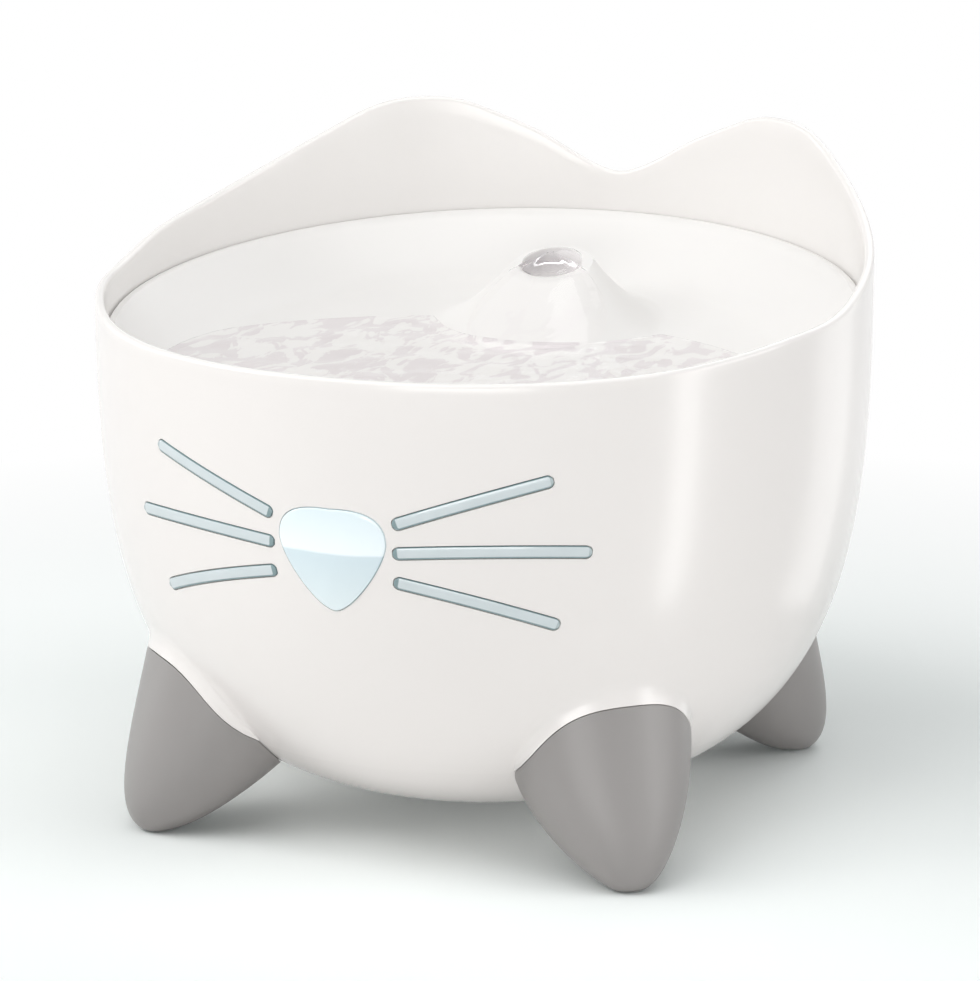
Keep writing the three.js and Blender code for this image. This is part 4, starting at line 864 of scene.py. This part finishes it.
def make_bowl():
    azimuths = np.arange(BOWL_SIDES) * 360 / BOWL_SIDES
    rows = np.transpose([bowl_column(a) for a in azimuths], (1, 2, 0))
    rings = [ring_points(radius, azimuths, height) for radius, height in rows]
    bowl = lofted("bowl_shell", rings, sharp=38)
    hole = lofted("hole", [nose_ring(SEAT_GAP, 1, depth) for depth in (8, -12)])
    seat = lofted("seat", [nose_ring(NOSE_FLANGE + SEAT_GAP, 1, depth) for depth in (-2.2, -12)])
    grooves = []
    for heights, end in WHISKERS.values():
        for side in (-1, 1):
            rings = whisker_rings(heights, end, side, SEAT_GAP, *GROOVE_SECTION, 24)
            grooves.append(lofted("groove", rings))
    bush = ring_points(LEAD_RADIUS, np.arange(0, 360, 12), 0)
    lead = lofted("lead", [[(x, y, LEAD_HEIGHT + z) for x, z, _ in bush] for y in (100, 124)])
    cut_with(bowl, [hole, seat, lead, *grooves], sharp=38)
    lugs = [tray_lug(a) for a in LEG_AZIMUTHS.values()]
    bowl = joined("bowl_shell", [bowl, *lugs], sharp=38)
    dress(bowl, SHELL_WHITE)
    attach(bowl, "bowl")
    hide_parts("reservoir_shell")


def make_legs():
    """Each leg is the horn below the seam, cut to the bowl's outside."""
    low, high = side_skin(-SEAT_GAP)
    keep = np.linspace(0, len(low) - 1, 60).astype(int)
    for name, azimuth in LEG_AZIMUTHS.items():
        rings = horn_rings(1 - (1 - np.linspace(0, 1, 56)) ** 1.15, 96)
        leg = lofted("leg_" + name + "_cover", rings, sharp=32)
        sides = np.linspace(-34, 34, 69)
        rings = []
        for out in (20.0, 150.0):
            low_edge = [(out, side, float(seam_level(out, side)) - SEAT_GAP * 1.2) for side in sides]
            rings.append(low_edge + [(out, 34, 260), (out, -34, 260)])
        above = lofted("above", rings)
        azimuths = np.arange(240) * 1.5
        core = lofted("core", [ring_points(max(low[k], 0.5), azimuths, high[k]) for k in keep])
        cut_with(leg, [above, core], sharp=32)
        for vertex in leg.data.vertices:
            vertex.co = spun([[vertex.co]], azimuth)[0][0]
        leg.data.update()
        soften = leg.modifiers.new("soft_edges", "BEVEL")
        soften.width, soften.segments, soften.limit_method = 0.35 * MM, 2, "ANGLE"
        soften.angle_limit = 50 * DEGREE
        dress(leg, LEG_GREY)
        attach(leg, "bowl")
        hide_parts("leg_" + name)


def make_nose():
    shares = [0.02, 0.15, 0.3, 0.45, 0.6, 0.72, 0.82, 0.9, 0.95, 0.98]
    rings = [nose_ring(0, s, NOSE_BULGE * (1 - s**2) + 0.35) for s in shares]
    back = -FLANGE_DEPTH - 1.8
    rings += [nose_ring(*sizes) for sizes in (
        (-0.12, 1, 0.34), (-0.03, 1, 0.2), (0, 1, 0.0), (0, 1, -1.5), (0, 1, -FLANGE_DEPTH),
        (NOSE_FLANGE, 1, -FLANGE_DEPTH), (NOSE_FLANGE, 1, back), (0, 1, back), (0, 0.5, back),
        (0, 0.02, back))]
    nose = lofted("nose_lens", rings, sharp=45)
    dress(nose, NOSE_CLEAR)
    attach(nose, "bowl")
    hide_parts("nose_window")


def make_whiskers():
    for side_name, side in (("left", -1), ("right", 1)):
        for name, (heights, end) in WHISKERS.items():
            rings = whisker_rings(heights, end, side, 0, *INLAY_SECTION)
            piece = lofted(f"whisker_inlay_{side_name}_{name}", rings, sharp=35)
            count = len(rings[0])
            # Edge values mark where painted shade goes: 1 along both long sides and over the first end, at
            # least 0.7 over the last end.
            edge = [1.0 if i < 4 or i > count - 4 else 0.0 for i in range(count)]
            shade = piece.data.attributes.new("edge", "FLOAT", "POINT")
            values = np.array(edge * len(rings) + [1.0, 1.0])
            values[:count * 5] = 1
            values[-count * 4 - 2:] = np.maximum(values[-count * 4 - 2:], 0.7)
            shade.data.foreach_set("value", values[:len(piece.data.vertices)])
            dress(piece, WHISKER_TINT)
            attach(piece, "bowl")
            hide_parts(f"whisker_{side_name}_{name}")


# Dish and water

def section_drop():
    """The dish's fall below its edge plane, by distance from the lip and soft where band meets basin."""
    reach = DISH_INNER
    inset = np.linspace(0, reach, 600)
    band = BAND_DROP * (1 - np.clip(1 - inset / BAND_WIDTH, 0, 1) ** BAND_EASE)
    deep = np.clip((inset - BAND_WIDTH) / (reach - BAND_WIDTH), 0, 1)
    drop = band + BASIN_DROP * (1 - (1 - deep) ** 2)
    span = 18
    window = np.hanning(2 * span + 1)
    padded = np.concatenate([2 * drop[0] - drop[span:0:-1], drop, drop[-2:-span - 2:-1]])
    soft = np.convolve(padded, window / window.sum(), mode="valid")
    blend = np.clip(inset / 6, 0, 1)
    return inset, drop * (1 - blend) + soft * blend


DROP = section_drop()


def dish_height(x, y):
    inset = np.clip(DISH_INNER - np.hypot(x, y), 0, None)
    return edge_height(y) - np.interp(inset, *DROP)


def mound_circle(share):
    """The mound's middle and radius, from its crown at 0 to its foot at 1."""
    return SPOUT_Y - FOOT_SHIFT * share, CROWN_RADIUS + (FOOT_RADIUS - CROWN_RADIUS) * share


def mound_height(x, y):
    """The dish with the spout's mound on it."""
    x, y = np.asarray(x, float), np.asarray(y, float)
    base = dish_height(x, y)
    low, high = np.zeros_like(base), np.ones_like(base)
    for _ in range(40):
        share = (low + high) / 2
        centre, radius = mound_circle(share)
        outside = np.hypot(x, y - centre) > radius
        low, high = np.where(outside, share, low), np.where(outside, high, share)
    share = np.clip((low + high) / 2, 0, 1)
    centre, radius = mound_circle(share)
    crown = MOUND_TOP + MOUND_TILT * CROWN_RADIUS * (y - centre) / np.maximum(radius, 1)
    return base + (crown - base) * (1 - share) ** MOUND_FLARE


DISH_TURN = np.arange(DISH_SIDES) * 360 / DISH_SIDES


def spout_ring(radius, height, tilt=0.0):
    points = ring_points(radius, DISH_TURN, height)
    points[:, 2] += points[:, 1] * tilt
    points[:, 1] += SPOUT_Y
    return points


def mound_ring(share, sink=0.0):
    centre, radius = mound_circle(share)
    points = ring_points(radius, DISH_TURN, 0)
    crown = MOUND_TOP + MOUND_TILT * CROWN_RADIUS * points[:, 1] / radius
    points[:, 1] += centre
    base = dish_height(points[:, 0], points[:, 1])
    points[:, 2] = base + (crown - base) * (1 - share) ** MOUND_FLARE - sink
    return points


def basin_ring(share, sink=0.0):
    near = ring_points(FOOT_RADIUS, DISH_TURN, 0)
    near[:, 1] += SPOUT_Y - FOOT_SHIFT
    far = ring_points(DISH_INNER - BAND_WIDTH, DISH_TURN, 0)
    points = near * (1 - share) + far * share
    points[:, 2] = dish_height(points[:, 0], points[:, 1]) - sink
    return points


def band_ring(share, sink=0.0):
    points = ring_points(DISH_INNER - BAND_WIDTH * (1 - share), DISH_TURN, 0)
    points[:, 2] = dish_height(points[:, 0], points[:, 1]) - sink
    return points


def edge_ring(radius, sink):
    points = ring_points(radius, DISH_TURN, 0)
    points[:, 2] = edge_height(points[:, 1]) - sink
    return points


def make_dish():
    rings = []
    for turn in np.linspace(0, 90, 6):
        a = turn * DEGREE
        height = MOUND_TOP - MOUTH_ROUND * (1 - math.sin(a))
        rings.append(spout_ring(MOUTH_RADIUS + MOUTH_ROUND * (1 - math.cos(a)), height, MOUND_TILT))
    rings += [mound_ring(s) for s in MOUND_SHARES]
    rings += [basin_ring(s) for s in np.linspace(0, 1, 14)[:-1]]
    rings += [band_ring(s) for s in np.linspace(0, 1, 12)]
    rings += [edge_ring(radius, sink) for radius, sink in (
        (DISH_INNER + 0.4, 0), (DISH_RADIUS - 0.5, 0), (DISH_RADIUS - 0.15, 0.15), (DISH_RADIUS, 0.5),
        (DISH_RADIUS, DISH_WALL), (DISH_INNER, DISH_WALL))]
    rings += [band_ring(s, DISH_WALL) for s in (0.85, 0.6, 0.3, 0)]
    rings += [basin_ring(s, DISH_WALL) for s in (0.66, 0.33, 0)]
    rings += [mound_ring(s, DISH_WALL) for s in (0.75, 0.5, 0.25, 0.1)]
    rings.append(spout_ring(CROWN_RADIUS, MOUND_TOP - DISH_WALL - 0.6, MOUND_TILT))
    rings += [spout_ring(radius, height) for radius, height in (
        (SOCKET_OUTER + 0.4, 144), (SOCKET_OUTER, 140), (SOCKET_OUTER, SOCKET_FOOT),
        (SOCKET_BORE, SOCKET_FOOT), (SOCKET_BORE, NOZZLE_SEAT), (MOUTH_RADIUS, NOZZLE_SEAT))]
    dish = lofted("dish_body", rings, closed=True, sharp=42)
    radius = DISH_INNER - SLOT_INSET - SLOT_RADIUS
    a = np.arange(0, 360, 15) * DEGREE
    across = SLOT_RADIUS * np.sin(a) + np.copysign(SLOT_HALF_LENGTH, np.sin(a + 1e-6))
    outline = list(zip(radius + SLOT_RADIUS * np.cos(a), across))
    cutter = [[(x, y, level) for x, y in outline] for level in (160, 110)]
    slots = [lofted("slot", spun(cutter, azimuth * side)) for side in (-1, 1) for azimuth in SLOT_AZIMUTHS]
    cut_with(dish, slots, sharp=42)
    dress(dish, DISH_WHITE)
    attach(dish, "dish")
    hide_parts("drinking_dish")


def waves(x, y):
    """Low crossing ripples on the pool, strongest below the spout, in millimetres."""
    rng = np.random.default_rng(POOL_SEED)
    height = np.zeros_like(x)
    for _ in range(16):
        angle, length = rng.uniform(-1.0, 1.0), rng.uniform(9, 26)
        phase = rng.uniform(0, 2 * math.pi)
        run = x * math.sin(angle) + y * math.cos(angle)
        height += np.sin(run * 2 * math.pi / length + phase) * length / 26
    fall = np.hypot(x, y - 22)
    height += 2.2 * np.sin(fall * 2 * math.pi / 15) * np.exp(-fall / 60)
    return height


def make_pool():
    """The pool in the dish: a rippled top, closed below by a skin just inside the dish's surface."""
    turns = 240
    angle = np.arange(turns) * 2 * math.pi / turns
    reach = np.linspace(0, 110, 1101)
    x = np.sin(angle)[:, None] * reach
    y = POOL_MIDDLE - np.cos(angle)[:, None] * reach
    dry = mound_height(x, y) > POOL_LEVEL
    dry |= np.hypot(x, y) > DISH_INNER
    shore = reach[np.argmax(dry, axis=1)] + 0.25
    rings_top, rings_low = [], []
    for share in np.concatenate([np.linspace(0.03, 0.94, 52), [0.965, 0.985, 1.0]]):
        px, py = np.sin(angle) * shore * share, POOL_MIDDLE - np.cos(angle) * shore * share
        floor = mound_height(px, py)
        calm = np.clip((1 - share) * 9, 0, 1)
        top = POOL_LEVEL + 0.085 * waves(px, py) * calm
        top = np.maximum(top, floor + (0.3 if share < 1 else 0.12))
        rings_top.append(np.stack([px, py, top], axis=1))
        rings_low.append(np.stack([px, py, floor - WATER_BED], axis=1))
    pool = lofted("pool_surface", rings_top + rings_low[::-1], sharp=60)
    dress(pool, POOL_WATER)
    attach(pool, "dish")


def make_stream():
    """Water that wells up in the mouth and runs down the mound into the pool."""
    turns = 144
    angle = np.arange(turns) * 2 * math.pi / turns
    lean = np.array([(a + math.pi) % (2 * math.pi) - math.pi for a in angle - 0.12])
    front = np.clip(1 - np.abs(lean) / 1.25, 0, 1) ** 0.5
    out = WELL_RADIUS + STREAM_LENGTH * front
    rng = np.random.default_rng(STREAM_SEED)
    phase = rng.uniform(0, 2 * math.pi, 8)
    tops, lows = [], []
    for share in np.linspace(0.03, 1, 48):
        radius = out * share
        x, y = np.sin(angle) * radius, SPOUT_Y - np.cos(angle) * radius
        inside = np.clip((10.6 - radius) / 2.6, 0, 1)
        inside = inside * inside * (3 - 2 * inside)
        lip = MOUND_TOP + MOUND_TILT * np.clip(y - SPOUT_Y, -CROWN_RADIUS, CROWN_RADIUS)
        ground = np.where(np.hypot(x, y - SPOUT_Y) < CROWN_RADIUS, lip, mound_height(x, y))
        dome = 3.2 * np.clip(1 - (radius / 11.5) ** 2, 0, 1)
        film = 0.9 * np.clip(front * 1.5, 0.12, 1) * np.clip((1 - share) * 6, 0.05, 1) ** 0.5
        braid = sum(np.sin(lean * (4 + 2 * k) + phase[k] + radius * 0.16) for k in range(4)) * 0.09
        swell = 0.1 * np.sin(radius * 0.9 + phase[5]) * np.exp(-radius / 30)
        top = ground + dome + film + np.clip(front, 0, 1) * (braid + swell) * np.clip((1 - share) * 4, 0, 1)
        floor = ground * (1 - inside) + WELL_FLOOR * inside
        tops.append(np.stack([x, y, np.maximum(top, floor + 0.1)], axis=1))
        lows.append(np.stack([x, y, floor - WATER_BED * (1 - inside) + 0.06 * inside], axis=1))
    stream = lofted("spout_stream", tops + lows[::-1], sharp=60)
    dress(stream, STREAM_WATER)
    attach(stream, "dish")


# Soft and hidden pieces

def make_filter_felt():
    """The quilted filter pad: rounded edges, a hole for the hose, sewn rings and pillows."""
    turns = np.arange(192) * 360 / 192
    outer = ring_points(PAD_RADIUS, turns, 0)
    outer[:, 1] = np.maximum(outer[:, 1], -PAD_FLAT)
    inner = ring_points(PAD_HOLE, turns, 0)
    inner[:, 1] += SPOUT_Y
    shares = np.concatenate([[0, 0.008, 0.02], np.linspace(0.05, 0.95, 34), [0.98, 0.992, 1]])
    tops, lows = [], []
    for share in shares:
        points = inner * (1 - share) + outer * share
        edge = min(share, 1 - share) * 95
        round_off = PAD_ROUND * (1 - min(edge / PAD_ROUND, 1)) ** 2
        spread = np.hypot(points[:, 0], points[:, 1])
        sewn = np.abs(np.sin(spread * math.pi / PAD_SEWING)) ** 0.4
        petals = np.abs(np.sin(np.arctan2(points[:, 0], -points[:, 1]) * 4)) ** 0.35
        puff = PAD_PUFF * (1 - sewn * petals) * min(edge / 6, 1)
        for rings, level in ((tops, PAD_HIGH - round_off - puff), (lows, PAD_LOW + round_off)):
            ring = points.copy()
            ring[:, 2] = level
            rings.append(ring)
    felt = lofted("filter_felt", tops + lows[::-1], closed=True, sharp=60)
    dress(felt, FELT_CREAM)
    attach(felt, "pad")
    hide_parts("filter_pad")


def make_intake_sponge():
    """The foam block in the intake cap, with cut corners that have swollen a little."""
    low, high = [np.array(c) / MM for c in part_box("intake_foam")]
    middle, half = (low + high) / 2, (high - low) / 2
    a = np.arange(0, 360, 6) * DEGREE
    outline = np.stack([np.cos(a), np.zeros_like(a), np.sin(a)], axis=1)
    outline /= (np.abs(outline) ** 5).sum(axis=1)[:, None] ** (1 / 5)
    rings = []
    for share in np.linspace(-1, 1, 15):
        ring = middle + outline * (half - 1.2 * max(abs(share) - 0.86, 0) / 0.14)
        ring[:, 1] += half[1] * share
        rings.append(ring)
    foam = lofted("intake_sponge", rings, sharp=60)
    dress(foam, FOAM_DARK)
    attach(foam, "intake")
    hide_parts("intake_foam")


def make_hose():
    """The moulded riser hose, an open tube from the pump's outlet to the dish's socket."""
    high = [(SPOUT_Y, z) for z in HOSE_HIGH]
    path = np.concatenate([HOSE_LOW, bezier(HOSE_BEND, np.linspace(0, 1, 40)), high])
    way = np.gradient(path, axis=0)
    way /= np.linalg.norm(way, axis=1)[:, None]

    def tube(radius):
        a = np.arange(0, 360, 10) * DEGREE
        out, across = radius * np.cos(a), radius * np.sin(a)
        return [np.stack([out, y - dz * across, z + dy * across], axis=1)
                for (y, z), (dy, dz) in zip(path, way)]

    hose = lofted("hose_moulding", tube(HOSE_OUTER) + tube(HOSE_BORE)[::-1], closed=True, sharp=50)
    dress(hose, HOSE_MILK)
    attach(hose, "pump")
    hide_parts("riser_hose")


CAD_FINISHES = {
    "nose_gasket": SEAL_WHITE,
    "cable_grommet": RUBBER_BLACK,
    "spout_nozzle": MOUTH_PAINTED_SHADE,
    "filter_tray": TRAY_WHITE,
    "pump_body": PUMP_DARK,
    "pump_lamp": LAMP_CLEAR,
    "rotor_magnet": MAGNET_DARK,
    "impeller": PUMP_TRIM,
    "impeller_shaft": CERAMIC,
    "shaft_bush_inner": RUBBER_BLACK,
    "shaft_bush_outer": RUBBER_BLACK,
    "impeller_cover": PUMP_TRIM,
    "intake_cover": PUMP_TRIM,
    "flow_slider": LAMP_CLEAR,
    **{f"leg_screw_{name}": SCREW_STEEL for name in LEG_AZIMUTHS},
    **{f"foot_pad_{name}": RUBBER_BLACK for name in LEG_AZIMUTHS},
    **{f"suction_cup_{i}": SEAL_WHITE for i in range(1, 5)},
}


def dress_cad():
    for name, material in CAD_FINISHES.items():
        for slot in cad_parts[name].material_slots:
            slot.material = material


bpy.context.scene.view_settings.view_transform = "Standard"
make_camera()
make_floor()
make_light()
make_bowl()
make_legs()
make_nose()
make_whiskers()
make_dish()
make_pool()
make_stream()
make_filter_felt()
make_intake_sponge()
make_hose()
dress_cad()
